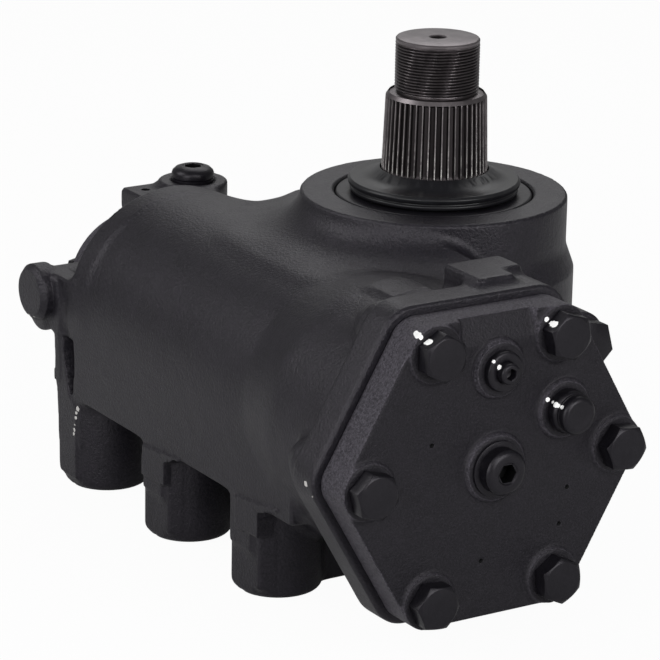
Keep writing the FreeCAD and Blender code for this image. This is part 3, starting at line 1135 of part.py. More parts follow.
sleeve_rings = grouped("sleeve_seal_rings", [turned(f"sleeve_ring_{i}",
                                                    [("valveBoreRadius - sealRingDepth + 0.1",
                                                      f"{foot_height} + 0.1"),
                                                     ("valveBoreRadius - 0.02", f"{foot_height} + 0.1"),
                                                     ("valveBoreRadius - 0.02",
                                                      f"{foot_height} + sealRingWidth - 0.1"),
                                                     ("valveBoreRadius - sealRingDepth + 0.1",
                                                      f"{foot_height} + sealRingWidth - 0.1")],
                                                    on_barrel("0"), "X")
                                             for i, foot_height in enumerate(ring_heights)])

input_core = turned("input_core", [("shaftBore", "rotorEnd"), ("shaftBore", f"{bar_end} - 4.3"),
                                   (0, f"{bar_end} - 4.3"), (0, "inputSplineStart"),
                                   ("inputSplineRadius - 2.5", "inputSplineStart"),
                                   ("inputSplineRadius - 1.6", "inputSplineStart + 1.2"),
                                   ("inputSplineRadius - 1.6", "inputSplineEnd"),
                                   ("inputRadius", "inputSplineEnd"), ("inputRadius", "sleeveStart"),
                                   ("rotorRadius - fitGap", "sleeveStart"),
                                   ("rotorRadius - fitGap", "rotorEnd")], on_barrel("0"), "X")
rotor_slot = feature(input_core, "Pocket", "rotor_slot",
                     outline(input_core, "rotor_slot_outline",
                             [("-2", "sleeveStart + 4"), ("2", "sleeveStart + 4"), ("2", "rotorEnd - 4"),
                              ("-2", "rotorEnd - 4")], "XZ_Plane", "rotorRadius - 1.6"), Length="3",
                     Reversed=True)
doc.recompute()
patterned(input_core, "rotor_slots", [rotor_slot], 6)
input_serrations = serrations("input_serrations", size("inputSplineRadius"), size("inputSplineRadius"), 1.2,
                              int(size("inputSplineCount")),
                              size("inputSplineEnd") - size("inputSplineStart") - 2)
place(input_serrations, on_barrel("inputSplineStart + 1"), "X")
input_blank = fused("input_blank", [input_core, input_serrations])


def across_bar(name, radius, half_length):
    """A cylinder through the input shaft and the end of the torsion bar."""
    return cylinder(name, radius, f"2 * ({half_length})",
                    on_barrel(f"{bar_end} + 3", 0, f"-({half_length})"), "Z")


# The bar is pinned in the input shaft and pressed into the tip of the worm.
input_pin = across_bar("input_end_pin", "pinRadius - fitGap", "inputRadius - 0.5")
bar_part = cut("torsion_bar_drilled", torsion_bar, across_bar("bar_pin_hole", "pinRadius", "inputRadius"))
input_part = cut("input_shaft", input_blank, across_bar("input_pin_hole", "pinRadius", "inputRadius + 2"))

drive_pin = cylinder("sleeve_drive_pin", "pinRadius - fitGap",
                     "valveBoreRadius - sealRingDepth - wormJournal + 3.7",
                     on_barrel("(sleeveEnd + wormNose) / 2", 0, "wormJournal - 4"), "Z")
drive_hole = [cylinder(f"drive_hole_{i}", "pinRadius", "valveBoreRadius - wormJournal + 6",
                       on_barrel("(sleeveEnd + wormNose) / 2", 0, "wormJournal - 4.1"), "Z")
              for i in range(2)]
worm_part = cut("worm_drilled", worm, drive_hole[0])
sleeve_part = cut("valve_sleeve_drilled", sleeve, drive_hole[1])

# Input cover with the needle bearing, seal and dust cap

input_cover = turned("input_cover", [("inputSeatRadius", "inputSpigotEnd"),
                                     ("valveBoreRadius - fitGap", "inputSpigotEnd"),
                                     ("valveBoreRadius - fitGap", "inputSpigotEnd - 3"),
                                     ("valveBoreRadius - 2 * cordRadius - freeGap", "inputSpigotEnd - 3"),
                                     ("valveBoreRadius - 2 * cordRadius - freeGap",
                                      "inputSpigotEnd - 3.2 - 2 * cordRadius"),
                                     ("valveBoreRadius - fitGap", "inputSpigotEnd - 3.2 - 2 * cordRadius"),
                                     ("valveBoreRadius - fitGap", "neckEnd"),
                                     ("inputCoverRadius", "neckEnd"),
                                     ("inputCoverRadius", "neckEnd - inputCoverThickness + 1.5"),
                                     ("inputCoverRadius - 1.5", "neckEnd - inputCoverThickness"),
                                     ("inputNeckRadius + 2", "neckEnd - inputCoverThickness"),
                                     ("inputNeckRadius", "neckEnd - inputCoverThickness - 2"),
                                     ("inputNeckRadius", "inputNeckEnd"),
                                     ("inputSeatRadius", "inputNeckEnd"),
                                     ("inputSeatRadius", "inputNeckEnd + 9"),
                                     ("inputRadius + 1.2", "inputNeckEnd + 9"),
                                     ("inputRadius + 1.2", "inputNeckEnd + 10"),
                                     ("inputSeatRadius", "inputNeckEnd + 10")], on_barrel("0"), "X")
input_hole = feature(input_cover, "Pocket", "input_bolt_hole",
                     ring_sketch(input_cover, "input_hole_circle", "inputBoltRadius + 0.4",
                                 ("inputBoltCircle", 0), "XY_Plane", "neckEnd - inputCoverThickness - 1"),
                     Length="inputCoverThickness + 2", Reversed=True)
doc.recompute()
patterned(input_cover, "input_bolt_holes", [input_hole], 5)
place(input_cover, on_barrel("0"), "X", 108)
input_cover_bolts = bolts("input_cover_bolts", 5, "inputBoltCircle", "inputBoltRadius", "inputBoltLength",
                          "10", "4", on_barrel("neckEnd - inputCoverThickness"), "-X", 72)
input_cover_seal = seal_ring("input_cover_seal", "valveBoreRadius - cordRadius - fitGap",
                             on_barrel("inputSpigotEnd - 3.1 - cordRadius"), "X")

needle_cup = turned("input_bearing_cup", [("inputRadius + 2.9", 0.8), ("inputRadius + 2.9", 10.2),
                                          ("inputRadius + 0.8", 10.2), ("inputRadius + 0.8", 11),
                                          ("inputSeatRadius - fitGap", 11), ("inputSeatRadius - fitGap", 0),
                                          ("inputRadius + 0.8", 0), ("inputRadius + 0.8", 0.8)],
                    on_barrel("inputNeckEnd + 10.2"), "X")
needles = doc.addObject("PartDesign::Body", "input_bearing_needles")
needles.AllowCompound = True
needle = feature(needles, "Pad", "needle", ring_sketch(needles, "needle_circle", "1.35",
                                                       ("inputRadius + 1.45", 0)), Length="9")
doc.recompute()
patterned(needles, "needles_around", [needle], 14)
place(needles, on_barrel("inputNeckEnd + 11.2"), "X")
input_seal = turned("input_shaft_seal", [("inputRadius + 0.1", 4), ("inputRadius + 1.5", 1),
                                         ("inputSeatRadius - fitGap", 0.5),
                                         ("inputSeatRadius - fitGap", 8.5), ("inputRadius + 1.5", 8.5),
                                         ("inputRadius + 1.5", 5.5)], on_barrel("inputNeckEnd"), "X")
dust_cap = turned("input_dust_cap", [("inputRadius + 0.3", "-4.5"), ("inputRadius + 1.8", "-5"),
                                     ("inputNeckRadius + 1", "-2.5"), ("inputNeckRadius + 2", -1),
                                     ("inputNeckRadius + 2", 3.5), ("inputNeckRadius + fitGap", 3.5),
                                     ("inputNeckRadius + fitGap", "-0.2"), ("inputRadius + 2.5", "-2"),
                                     ("inputRadius + 0.3", "-2")], on_barrel("inputNeckEnd"), "X")

guide_screws = grouped("return_guide_screws", [fused(f"guide_screw_{i}",
                                                     [cylinder(f"guide_screw_head_{i}", "4", "2.2",
                                                               on_barrel(f"ballCentre {side} 9",
                                                                         "-guideSeat - guideHeight", 0),
                                                               "-Y"),
                                                      cylinder(f"guide_screw_shank_{i}", "2.45",
                                                               "guideHeight + 8",
                                                               on_barrel(f"ballCentre {side} 9",
                                                                         "-guideSeat - guideHeight", 0),
                                                               "Y")]) for i, side in enumerate("-+")])
guide_part = cut("guide_drilled", return_guide, fused("guide_screw_holes",
                                                      [cylinder(f"guide_screw_hole_{i}", "2.5",
                                                                "guideHeight + 2",
                                                                on_barrel(f"ballCentre {side} 9",
                                                                          "-guideSeat - guideHeight - 1", 0),
                                                                "Y") for i, side in enumerate("-+")]))
piston_part = cut("piston_tapped", piston, fused("piston_screw_taps",
                                                 [cylinder(f"piston_screw_tap_{i}", "2.5", "10",
                                                           on_barrel(f"ballCentre {side} 9",
                                                                     "-guideSeat - 1", 0), "Y")
                                                  for i, side in enumerate("-+")]))

nodes = {
    "housing": housing,
    "end_cover": end_cover,
    "end_cover_seal": end_cover_seal,
    "end_cover_bolts": end_cover_bolts,
    "centre_plug": centre_plug,
    "centre_plug_washer": plug_washer,
    "limiter_screw": limiter_screw,
    "limiter_lock_ring": limiter_ring,
    "relief_valve": relief_valve,
    "relief_valve_cap": relief_cap,
    "blanking_plug": blanking_plug,
    "port_plug": port_plug,
    "sector_shaft": sector_shaft,
    "dust_seal": dust_seal,
    "seal_carrier": seal_carrier,
    "sector_shaft_seal": shaft_seal,
    "upper_bearing_race": upper_race,
    "upper_bearing_rollers": upper_rollers,
    "lower_bearing_race": lower_race,
    "lower_bearing_rollers": lower_rollers,
    "side_cover": side_cover,
    "side_cover_seal": side_cover_seal,
    "side_cover_bolts": side_cover_bolts,
    "lash_screw": lash_screw,
    "lash_retainer": lash_retainer,
    "lash_lock_nut": lock_nut,
    "piston": piston_part,
    "piston_ring": piston_ring,
    "ball_return_guide": guide_part,
    "return_guide_screws": guide_screws,
    "recirculating_balls": ball_set,
    "worm": worm_part,
    "worm_bearing_inner": race_inner,
    "worm_bearing_outer": race_outer,
    "worm_bearing_balls": bearing_ball_set,
    "bearing_retaining_ring": retaining_ring,
    "torsion_bar": bar_part,
    "input_end_pin": input_pin,
    "valve_sleeve": sleeve_part,
    "sleeve_drive_pin": drive_pin,
    "sleeve_seal_rings": sleeve_rings,
    "input_shaft": input_part,
    "input_cover": input_cover,
    "input_cover_bolts": input_cover_bolts,
    "input_cover_seal": input_cover_seal,
    "input_bearing_cup": needle_cup,
    "input_bearing_needles": needles,
    "input_shaft_seal": input_seal,
    "input_dust_cap": dust_cap,
}
for name, item in nodes.items():
    for other in doc.Objects:
        if other is not item and other.Label == name:
            other.Label = f"{name}_blank"
    item.Label = name

doc.recompute()
for item in doc.Objects:
    if {"Invalid", "Error"} & set(item.State):
        raise RuntimeError(f"{item.Name} is {item.State}")
for name, item in nodes.items():
    if item.Shape.isNull() or not item.Shape.isValid():
        raise RuntimeError(f"{name} has no valid shape")
for name, item in nodes.items():
    item.Shape.exportStep(f"parts/{name}.step")
    print(f"{name:26s} {len(item.Shape.Solids):3d} solids  {item.Shape.Volume / 1000:9.2f} cm3")
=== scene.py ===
import math

import bmesh
import bpy
import numpy as np
from mathutils import Matrix, Vector
from mathutils.bvhtree import BVHTree


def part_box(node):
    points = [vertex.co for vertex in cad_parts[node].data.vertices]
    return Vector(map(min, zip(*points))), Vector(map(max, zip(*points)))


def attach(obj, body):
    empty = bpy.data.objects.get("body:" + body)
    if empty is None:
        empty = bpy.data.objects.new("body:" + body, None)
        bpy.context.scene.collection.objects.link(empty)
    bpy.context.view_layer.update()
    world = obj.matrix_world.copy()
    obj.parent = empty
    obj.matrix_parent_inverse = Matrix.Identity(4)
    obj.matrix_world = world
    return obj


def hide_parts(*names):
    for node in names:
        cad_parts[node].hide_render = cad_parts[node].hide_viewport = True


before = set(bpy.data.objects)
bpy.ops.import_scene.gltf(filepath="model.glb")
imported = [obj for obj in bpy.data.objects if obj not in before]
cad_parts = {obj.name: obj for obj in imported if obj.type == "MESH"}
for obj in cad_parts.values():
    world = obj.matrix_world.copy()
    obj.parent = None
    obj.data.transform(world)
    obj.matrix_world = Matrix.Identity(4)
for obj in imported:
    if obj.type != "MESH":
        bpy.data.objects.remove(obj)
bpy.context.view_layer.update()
scene = bpy.context.scene
scene.view_settings.view_transform = "Standard"
print("frame loaded,", len(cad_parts), "nodes")

# The gear's own landmarks, in metres: barrel axis along X, output shaft along Z
gear = {
    "barrelY": -0.092,
    "barrelZ": 0.11,
    "coverFaceX": 0.203,
    "boltPadX": 0.205,
    "boltCircle": 0.0818,
    "splineFootZ": 0.219,
    "splineTopZ": 0.2665,
    "threadFootZ": 0.27,
    "shaftTopZ": 0.2992,
}
axisY, axisZ = gear["barrelY"], gear["barrelZ"]


# Colours and nodes

def linear(hexColour):
    channels = [int(hexColour[i:i + 2], 16) / 255 for i in (1, 3, 5)]
    return tuple(c / 12.92 if c <= 0.04045 else ((c + 0.055) / 1.055) ** 2.4 for c in channels) + (1.0,)


def addNode(tree, kind, settings=None, values=None, links=None):
    node = tree.nodes.new(kind)
    for name, value in (settings or {}).items():
        setattr(node, name, value)
    for socket, value in (values or {}).items():
        node.inputs[socket].default_value = value
    for socket, source in (links or {}).items():
        tree.links.new(source, node.inputs[socket])
    return node


def fed(tree, node, terms):
    # Each term is a number or another node's socket
    for key, term in terms.items():
        if isinstance(term, (int, float)):
            node.inputs[key].default_value = term
        else:
            tree.links.new(term, node.inputs[key])
    return node.outputs[0]


def mathNode(tree, operation, *terms):
    return fed(tree, addNode(tree, "ShaderNodeMath", {"operation": operation}), dict(enumerate(terms)))


def partsOf(tree, vector):
    return addNode(tree, "ShaderNodeSeparateXYZ", links={0: vector}).outputs


def mapped(tree, value, fromRange=(0.0, 1.0), toRange=(0.0, 1.0), kind="LINEAR"):
    node = addNode(tree, "ShaderNodeMapRange", {"interpolation_type": kind})
    return fed(tree, node, {"Value": value, "From Min": fromRange[0], "From Max": fromRange[1],
                            "To Min": toRange[0], "To Max": toRange[1]})


def addRamp(tree, source, stops):
    # Two stops, each a place and a colour or a grey
    ramp = addNode(tree, "ShaderNodeValToRGB", links={0: source})
    for element, (place, colour) in zip(ramp.color_ramp.elements, stops):
        element.position = place
        element.color = linear(colour) if isinstance(colour, str) else (colour, colour, colour, 1.0)
    return ramp.outputs[0]


def tinted(tree, mask, under, over):
    # The colour over shows where the mask is 1; sockets 0, 6 and 7 are the colour mix's factor, A and B
    return addNode(tree, "ShaderNodeMix", {"data_type": "RGBA"}, {7: linear(over)}, {0: mask, 6: under}).outputs[2]


def noiseAt(tree, place, grainMm, detail=3.0, rough=0.55, distortion=0.0):
    values = {"Scale": 1000.0 / grainMm, "Detail": detail, "Roughness": rough, "Distortion": distortion}
    return addNode(tree, "ShaderNodeTexNoise", values=values, links={"Vector": place}).outputs["Fac"]


def addBump(tree, height, strength, distance, under=None):
    bump = addNode(tree, "ShaderNodeBump", values={"Strength": strength, "Distance": distance},
                   links={"Height": height})
    if under is not None:
        tree.links.new(under, bump.inputs["Normal"])
    return bump.outputs[0]


def emptyTree(owner):
    owner.use_nodes = True
    owner.node_tree.nodes.clear()
    return owner.node_tree


def newMaterial(name, values):
    material = bpy.data.materials.new(name)
    tree = emptyTree(material)
    shader = addNode(tree, "ShaderNodeBsdfPrincipled", values=values)
    addNode(tree, "ShaderNodeOutputMaterial", links={"Surface": shader.outputs[0]})
    place = addNode(tree, "ShaderNodeTexCoord").outputs["Object"]
    return material, tree, shader, place


# Spots where the enamel is knocked off: place and reach in metres
chips = [
    ((-0.1418, -0.165, 0.053), 0.0016), ((-0.1431, -0.165, 0.05), 0.001), ((-0.1436, -0.165, 0.0468), 0.0011),
    ((-0.1446, -0.165, 0.042), 0.0008), ((-0.1452, -0.165, 0.0385), 0.0013), ((-0.1458, -0.165, 0.0356), 0.0012),
    ((-0.201, -0.1735, 0.1022), 0.0009), ((-0.195, -0.1735, 0.102), 0.0011), ((-0.189, -0.1735, 0.1022), 0.0009),
    ((-0.183, -0.1735, 0.102), 0.0012), ((-0.177, -0.1735, 0.1021), 0.001), ((-0.17, -0.169, 0.099), 0.001),
    ((-0.148, -0.162, 0.004), 0.0012), ((0.174, -0.1946, 0.109), 0.0017), ((0.179, -0.194, 0.103), 0.001),
]

# Dabs of the white paint marker across each tightened piece
whiteDabs = [
    ((0.199, -0.1434, 0.1935), 0.0016), ((0.2003, -0.1437, 0.1932), 0.0018), ((0.2022, -0.1437, 0.1927), 0.002),
    ((0.2042, -0.1433, 0.1921), 0.0014), ((0.2072, -0.1409, 0.1901), 0.0022), ((0.2088, -0.1408, 0.1902), 0.0022),
    ((0.2056, -0.062, 0.1902), 0.0016), ((0.2066, -0.0613, 0.1894), 0.0016), ((0.2086, -0.0609, 0.189), 0.002),
    ((0.2105, -0.0609, 0.189), 0.0021), ((0.2108, -0.1002, 0.1738), 0.001), ((0.2115, -0.0968, 0.1702), 0.0014),
    ((0.206, -0.0599, 0.1443), 0.0014), ((0.208, -0.0581, 0.1433), 0.0009), ((0.211, -0.0582, 0.1426), 0.0016),
    ((0.2126, -0.0577, 0.1425), 0.0013), ((0.215, -0.0569, 0.1422), 0.0013),
]

# What every coat of the enamel shares
enamel = {
    "tint": (0.97, 0.93, 1.0, 1.0),
    "pimpleSize": 0.085,
    "pimpleShare": 0.35,
    "dust": "#3c3a3f",
    "dustMm": 46.0,
    "speckle": "#3a373e",
    # stipple colour of the mould skin on the cover's sides, partly painted sheen
    "mouldSkinAndSheen": "#524f56",
    "mouldMm": 1.3,
    "mouldBumpMm": 1.8,
    "bareIron": "#b9b7b4",
    "marker": "#fbfbfa",
}


def spotMask(tree, place, spots, grainMm, raggedness):
    # 1 inside any of the spots, with a ragged outline
    mask = None
    ragged = noiseAt(tree, place, grainMm, 2.0, 0.6)
    for centre, reach in spots:
        away = addNode(tree, "ShaderNodeVectorMath", {"operation": "DISTANCE"}, {1: centre}, {0: place})
        wobble = mathNode(tree, "MULTIPLY_ADD", ragged, raggedness, away.outputs["Value"])
        spot = mathNode(tree, "LESS_THAN", wobble, reach + raggedness / 2)
        mask = spot if mask is None else mathNode(tree, "MAXIMUM", mask, spot)
    return mask


def pimplesAt(tree, place, spacingMm):
    # Small round specks in the coat, on a share of the cells
    cells = addNode(tree, "ShaderNodeTexVoronoi", values={"Scale": 1000.0 / spacingMm}, links={"Vector": place}).outputs
    speck = addRamp(tree, cells["Distance"], [(0.0, 1.0), (enamel["pimpleSize"], 0.0)])
    chosen = mathNode(tree, "LESS_THAN", partsOf(tree, cells["Color"])[0], enamel["pimpleShare"])
    return mathNode(tree, "MULTIPLY", speck, chosen)


def blackEnamel(name, coat):
    # Iron or steel under sprayed semi-gloss black enamel: the grain of the sand breaks up each soft highlight
    material, tree, shader, place = newMaterial(name, {
        "IOR": 1.5, "Specular IOR Level": coat["gloss"], "Specular Tint": enamel["tint"]})
    sand = noiseAt(tree, place, coat["sandMm"], 4.0, 0.62)
    flow = noiseAt(tree, place, coat["flowMm"], 3.0, 0.5, 0.6)
    colour = addRamp(tree, flow, [(0.3, coat["dark"]), (0.7, coat["light"])])
    cloud = noiseAt(tree, place, enamel["dustMm"], 5.0, 0.65, 0.4)
    colour = tinted(tree, addRamp(tree, cloud, [(0.5, 0.0), (0.8, coat["dust"])]), colour, enamel["dust"])
    grit = noiseAt(tree, place, coat["sandMm"] * 0.8, 3.0, 0.65)
    colour = tinted(tree, addRamp(tree, grit, [(0.44, 0.0), (0.66, coat["speckle"])]), colour, enamel["speckle"])
    bump = addBump(tree, sand, coat["sandDepth"], 0.0006)
    bump = addBump(tree, pimplesAt(tree, place, coat["pimpleMm"]), coat["pimpleDepth"], 0.0005, bump)
    bump = addBump(tree, flow, coat["flowDepth"], 0.001, bump)
    if coat["roughSides"]:
        # the cover's edge and bevel keep the coarse skin of the mould, the face was cleaned; their greyer stipple is
        # partly that skin and partly painted sheen, the light those faces catch drawn into their colour
        sides = addRamp(tree, partsOf(tree, place.node.outputs["Normal"])[0], [(0.6, 1.0), (0.9, 0.0)])
        pitted = addRamp(tree, noiseAt(tree, place, enamel["mouldMm"], 3.0, 0.7), [(0.36, 0.15), (0.62, 0.85)])
        colour = tinted(tree, mathNode(tree, "MULTIPLY", sides, pitted), colour, enamel["mouldSkinAndSheen"])
        coarse = mathNode(tree, "MULTIPLY", noiseAt(tree, place, enamel["mouldBumpMm"], 4.0, 0.7), sides)
        bump = addBump(tree, coarse, coat["roughSides"], 0.0011, bump)
    if coat["chipped"]:
        colour = tinted(tree, spotMask(tree, place, chips, 1.0, 0.0016), colour, enamel["bareIron"])
    if coat["marked"]:
        colour = tinted(tree, spotMask(tree, place, whiteDabs, 2.4, 0.0008), colour, enamel["marker"])
    roughness = mapped(tree, flow, toRange=(coat["rough"] - 0.04, coat["rough"] + 0.08))
    fed(tree, shader, {"Base Color": colour, "Roughness": roughness, "Normal": bump})
    return material


# Ductile iron, sand cast
blackCastEnamel = blackEnamel("blackEnamelOnSandCastIron", {
    "rough": 0.38, "gloss": 0.33, "dark": "#0c0b10", "light": "#110f15", "dust": 0.1, "speckle": 0.22,
    "sandMm": 1.7, "sandDepth": 0.75, "flowMm": 12.0, "flowDepth": 0.25, "pimpleMm": 9.0, "pimpleDepth": 0.6,
    "chipped": True, "marked": False, "roughSides": 0.0})
# Iron cast in finer sand and cleaned on its face
coverEnamel = blackEnamel("blackEnamelOnFineCastIron", {
    "rough": 0.46, "gloss": 0.24, "dark": "#0b0a0e", "light": "#0f0e12", "dust": 0.12, "speckle": 0.22,
    "sandMm": 1.3, "sandDepth": 0.6, "flowMm": 7.0, "flowDepth": 0.25, "pimpleMm": 7.0, "pimpleDepth": 0.4,
    "chipped": False, "marked": True, "roughSides": 1.0})
# Forged and machined steel fasteners, painted with the rest
fastenerEnamel = blackEnamel("blackEnamelOnForgedSteel", {
    "rough": 0.33, "gloss": 0.26, "dark": "#0c0b0f", "light": "#100f13", "dust": 0.06, "speckle": 0.06,
    "sandMm": 2.2, "sandDepth": 0.16, "flowMm": 6.0, "flowDepth": 0.08, "pimpleMm": 9.0, "pimpleDepth": 0.2,
    "chipped": False, "marked": True, "roughSides": 0.0})


def holeShadeMaterial():
    # Painted shade: the inside of a socket or a drilled hole is drawn nearly black, as the shade that fills it
    material, tree, shader, place = newMaterial("oiledBlackSteel", {"Roughness": 0.6, "Specular IOR Level": 0.1})
    fed(tree, shader, {"Base Color": addRamp(tree, noiseAt(tree, place, 2.0), [(0.3, "#050505"), (0.7, "#09090b")])})
    return material


# Crests, wear, and the reach of the painted shade in the grooves of the output shaft, in metres
shaftWearAndShade = {
    "crestFoot": 0.0314,
    "crestTop": 0.0297,
    "threadCrest": 0.0248,
    "grooveShadeDepth": (0.0001, 0.0009),
    "collarZ": gear["splineTopZ"] - 0.001,
    "collarHalf": 0.0016,
    "sealZ": 0.215,
    "rubbedZ": (0.2225, 0.243),
    "rubbedEndZ": 0.264,
}


def phosphatedSteel():
    # Alloy steel, machined and manganese phosphated: dull dark grey, rubbed bright on the serrations' lower crests,
    # with painted shade in the grooves
    wearAndShade = shaftWearAndShade
    material, tree, shader, place = newMaterial("phosphatedAlloySteel", {"Metallic": 1.0})
    tone = addRamp(tree, noiseAt(tree, place, 9.0, 4.0, 0.6), [(0.3, "#645f61"), (0.7, "#7a7476")])
    z = partsOf(tree, place)[2]
    flat = addNode(tree, "ShaderNodeVectorMath", {"operation": "MULTIPLY"}, {1: (1, 1, 0)}, {0: place}).outputs[0]
    radius = addNode(tree, "ShaderNodeVectorMath", {"operation": "LENGTH"}, links={0: flat}).outputs["Value"]
    crestAt = mapped(tree, z, (gear["splineFootZ"], gear["splineTopZ"]), (wearAndShade["crestFoot"], wearAndShade["crestTop"]))
    # painted shade: the grooves of the thread and between the serrations are drawn darker, as the shade that falls in
    # them
    onThread = mathNode(tree, "GREATER_THAN", z, gear["splineTopZ"] + 0.0002)
    outline = addNode(tree, "ShaderNodeMix", {"data_type": "FLOAT"}, {3: wearAndShade["threadCrest"]},
                      {0: onThread, 2: crestAt}).outputs[0]
    grooveShade = mapped(tree, mathNode(tree, "SUBTRACT", outline, radius), wearAndShade["grooveShadeDepth"])
    onCollar = mathNode(tree, "COMPARE", z, wearAndShade["collarZ"], wearAndShade["collarHalf"])
    for gate in (mathNode(tree, "SUBTRACT", 1.0, onCollar), mathNode(tree, "GREATER_THAN", z, wearAndShade["sealZ"]),
                 mathNode(tree, "LESS_THAN", z, gear["shaftTopZ"] - 0.0006)):
        grooveShade = mathNode(tree, "MULTIPLY", grooveShade, gate)
    tone = tinted(tree, grooveShade, tone, "#2c292a")
    rubbed = mathNode(tree, "GREATER_THAN", radius, crestAt)
    for gate in (mapped(tree, z, wearAndShade["rubbedZ"], (1.0, 0.12)),
                 addRamp(tree, noiseAt(tree, place, 5.0, 4.0, 0.75), [(0.4, 0.0), (0.56, 1.0)]),
                 mathNode(tree, "LESS_THAN", z, wearAndShade["rubbedEndZ"])):
        rubbed = mathNode(tree, "MULTIPLY", rubbed, gate)
    # real phosphate grain is near 0.02 mm, drawn coarser so that it shows
    crystal = noiseAt(tree, place, 0.6, 2.0, 0.5)
    fed(tree, shader, {"Base Color": tinted(tree, rubbed, tone, "#c9c6c3"),
                       "Roughness": mapped(tree, rubbed, toRange=(0.38, 0.24)),
                       "Normal": addBump(tree, crystal, 0.16, 0.0001)})
    return material


def groundSteel():
    # Bearing steel, hardened and ground: bright, with fine rings of the grinding wheel
    material, tree, shader, place = newMaterial("groundBearingSteel", {"Metallic": 1.0, "Roughness": 0.24})
    stretched = addNode(tree, "ShaderNodeMapping", values={"Scale": (2200.0, 60.0, 60.0)}, links={"Vector": place})
    rings = addNode(tree, "ShaderNodeTexNoise", values={"Scale": 1.0, "Detail": 2.0},
                    links={"Vector": stretched.outputs[0]}).outputs["Fac"]
    fed(tree, shader, {"Base Color": addRamp(tree, rings, [(0.3, "#a6a6a8"), (0.7, "#bdbdbf")]),
                       "Normal": addBump(tree, rings, 0.05, 0.0001)})
    return material


def turnedIron():
    # Ductile iron, turned: mid grey with the feed marks of the tool, 0.8 mm apart
    material, tree, shader, place = newMaterial("turnedDuctileIron", {"Metallic": 0.9, "Roughness": 0.42})
    feed = addNode(tree, "ShaderNodeTexWave", {"wave_type": "BANDS", "bands_direction": "X"},
                   {"Scale": 1000.0 / 0.8 / 20, "Distortion": 0.6, "Detail": 1.0}, {"Vector": place}).outputs["Fac"]
    fed(tree, shader, {"Base Color": addRamp(tree, noiseAt(tree, place, 6.0), [(0.3, "#77777a"), (0.7, "#8c8c8f")]),
                       "Normal": addBump(tree, feed, 0.08, 0.0001)})
    return material


def mouldedRubber():
    # Nitrile rubber, moulded: satin black with a faint bloom and a soft skin
    material, tree, shader, place = newMaterial("mouldedNitrileRubber", {
        "Roughness": 0.36, "IOR": 1.52, "Specular IOR Level": 0.3})
    bloom = noiseAt(tree, place, 14.0, 4.0, 0.6, 0.3)
    skin = noiseAt(tree, place, 0.9, 2.0, 0.5)
    fed(tree, shader, {"Base Color": addRamp(tree, bloom, [(0.35, "#101013"), (0.75, "#1b1b1e")]),
                       "Normal": addBump(tree, skin, 0.1, 0.0001)})
    return material


def filledPlastic():
    # PTFE filled with bronze, machined: brown and waxy
    material, tree, shader, place = newMaterial("filledPtfe", {"Roughness": 0.5, "IOR": 1.38})
    fed(tree, shader, {"Base Color": addRamp(tree, noiseAt(tree, place, 1.2), [(0.35, "#4a3a2c"), (0.7, "#5d4a38")])})
    return material


darkSteel = phosphatedSteel()
brightSteel = groundSteel()
pistonIron = turnedIron()
sealRubber = mouldedRubber()
ringPlastic = filledPlastic()
holeShadeBlack = holeShadeMaterial()
print("materials made")


# Meshes

def meshObject(name, mesh, material=None):
    obj = bpy.data.objects.new(name, mesh)
    scene.collection.objects.link(obj)
    if material:
        mesh.materials.clear()
        mesh.materials.append(material)
    return obj


def fromBmesh(name, bm, material=None):
    mesh = bpy.data.meshes.new(name)
    bmesh.ops.recalc_face_normals(bm, faces=bm.faces)
    bm.to_mesh(mesh)
    bm.free()
    return meshObject(name, mesh, material)


def mergedCopy(node):
    bm = bmesh.new()
    bm.from_mesh(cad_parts[node].data)
    bmesh.ops.remove_doubles(bm, verts=bm.verts, dist=2e-6)
    return bm


def baked(obj):
    # Modifiers are turned into a plain mesh, and the object that carried them goes
    evaluated = obj.evaluated_get(bpy.context.evaluated_depsgraph_get())
    label = obj.name
    finished = meshObject(label + "Done", bpy.data.meshes.new_from_object(evaluated))
    bpy.data.objects.remove(obj)
    finished.name = label
    return finished


def addModifier(obj, kind, settings):
    modifier = obj.modifiers.new(kind.title(), kind)
    for name, value in settings.items():
        setattr(modifier, name, value)


def placed(obj, matrix):
    obj.data.transform(matrix)
    obj.data.update()
    return obj


def smoothShade(obj, angle):
    obj.data.shade_smooth()
    bm = bmesh.new()
    bm.from_mesh(obj.data)
    for edge in bm.edges:
        edge.smooth = len(edge.link_faces) == 2 and edge.calc_face_angle(0.0) < math.radians(angle)
    bm.to_mesh(obj.data)
    bm.free()


def fitted(piece, node, body):
    # The piece stands in for its CAD node
    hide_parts(node)
    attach(piece, body)
    return piece


def rodBetween(bm, start, end, radius, segments=64):
    # A closed cylinder from start to end
    axis = Vector(end) - Vector(start)
    turn = axis.to_track_quat("Z", "Y").to_matrix().to_4x4()
    bmesh.ops.create_cone(bm, cap_ends=True, segments=segments, radius1=radius, radius2=radius, depth=axis.length,
                          matrix=Matrix.Translation((Vector(start) + Vector(end)) / 2) @ turn)


def slab(bm, corners, run):
    # A closed block: one face given by its corners, pushed along run
    near = [bm.verts.new(corner) for corner in corners]
    far = [bm.verts.new(Vector(corner) + Vector(run)) for corner in corners]
    bm.faces.new(near)
    bm.faces.new(far[::-1])
    for i in range(len(near)):
        j = (i + 1) % len(near)
        bm.faces.new((near[j], near[i], far[i], far[j]))


def cutBy(obj, bm, name):
    # The cutter's walls bring the painted shade of a hole with them
    cutter = fromBmesh(name, bm, holeShadeBlack)
    addModifier(obj, "BOOLEAN", {"operation": "DIFFERENCE", "solver": "MANIFOLD", "object": cutter,
                                 "material_mode": "TRANSFER"})
    finished = baked(obj)
    bpy.data.objects.remove(cutter)
    return finished


# Castings: a skin drawn over the CAD solid

def remeshed(obj, voxel):
    addModifier(obj, "REMESH", {"mode": "VOXEL", "voxel_size": voxel})
    return baked(obj)


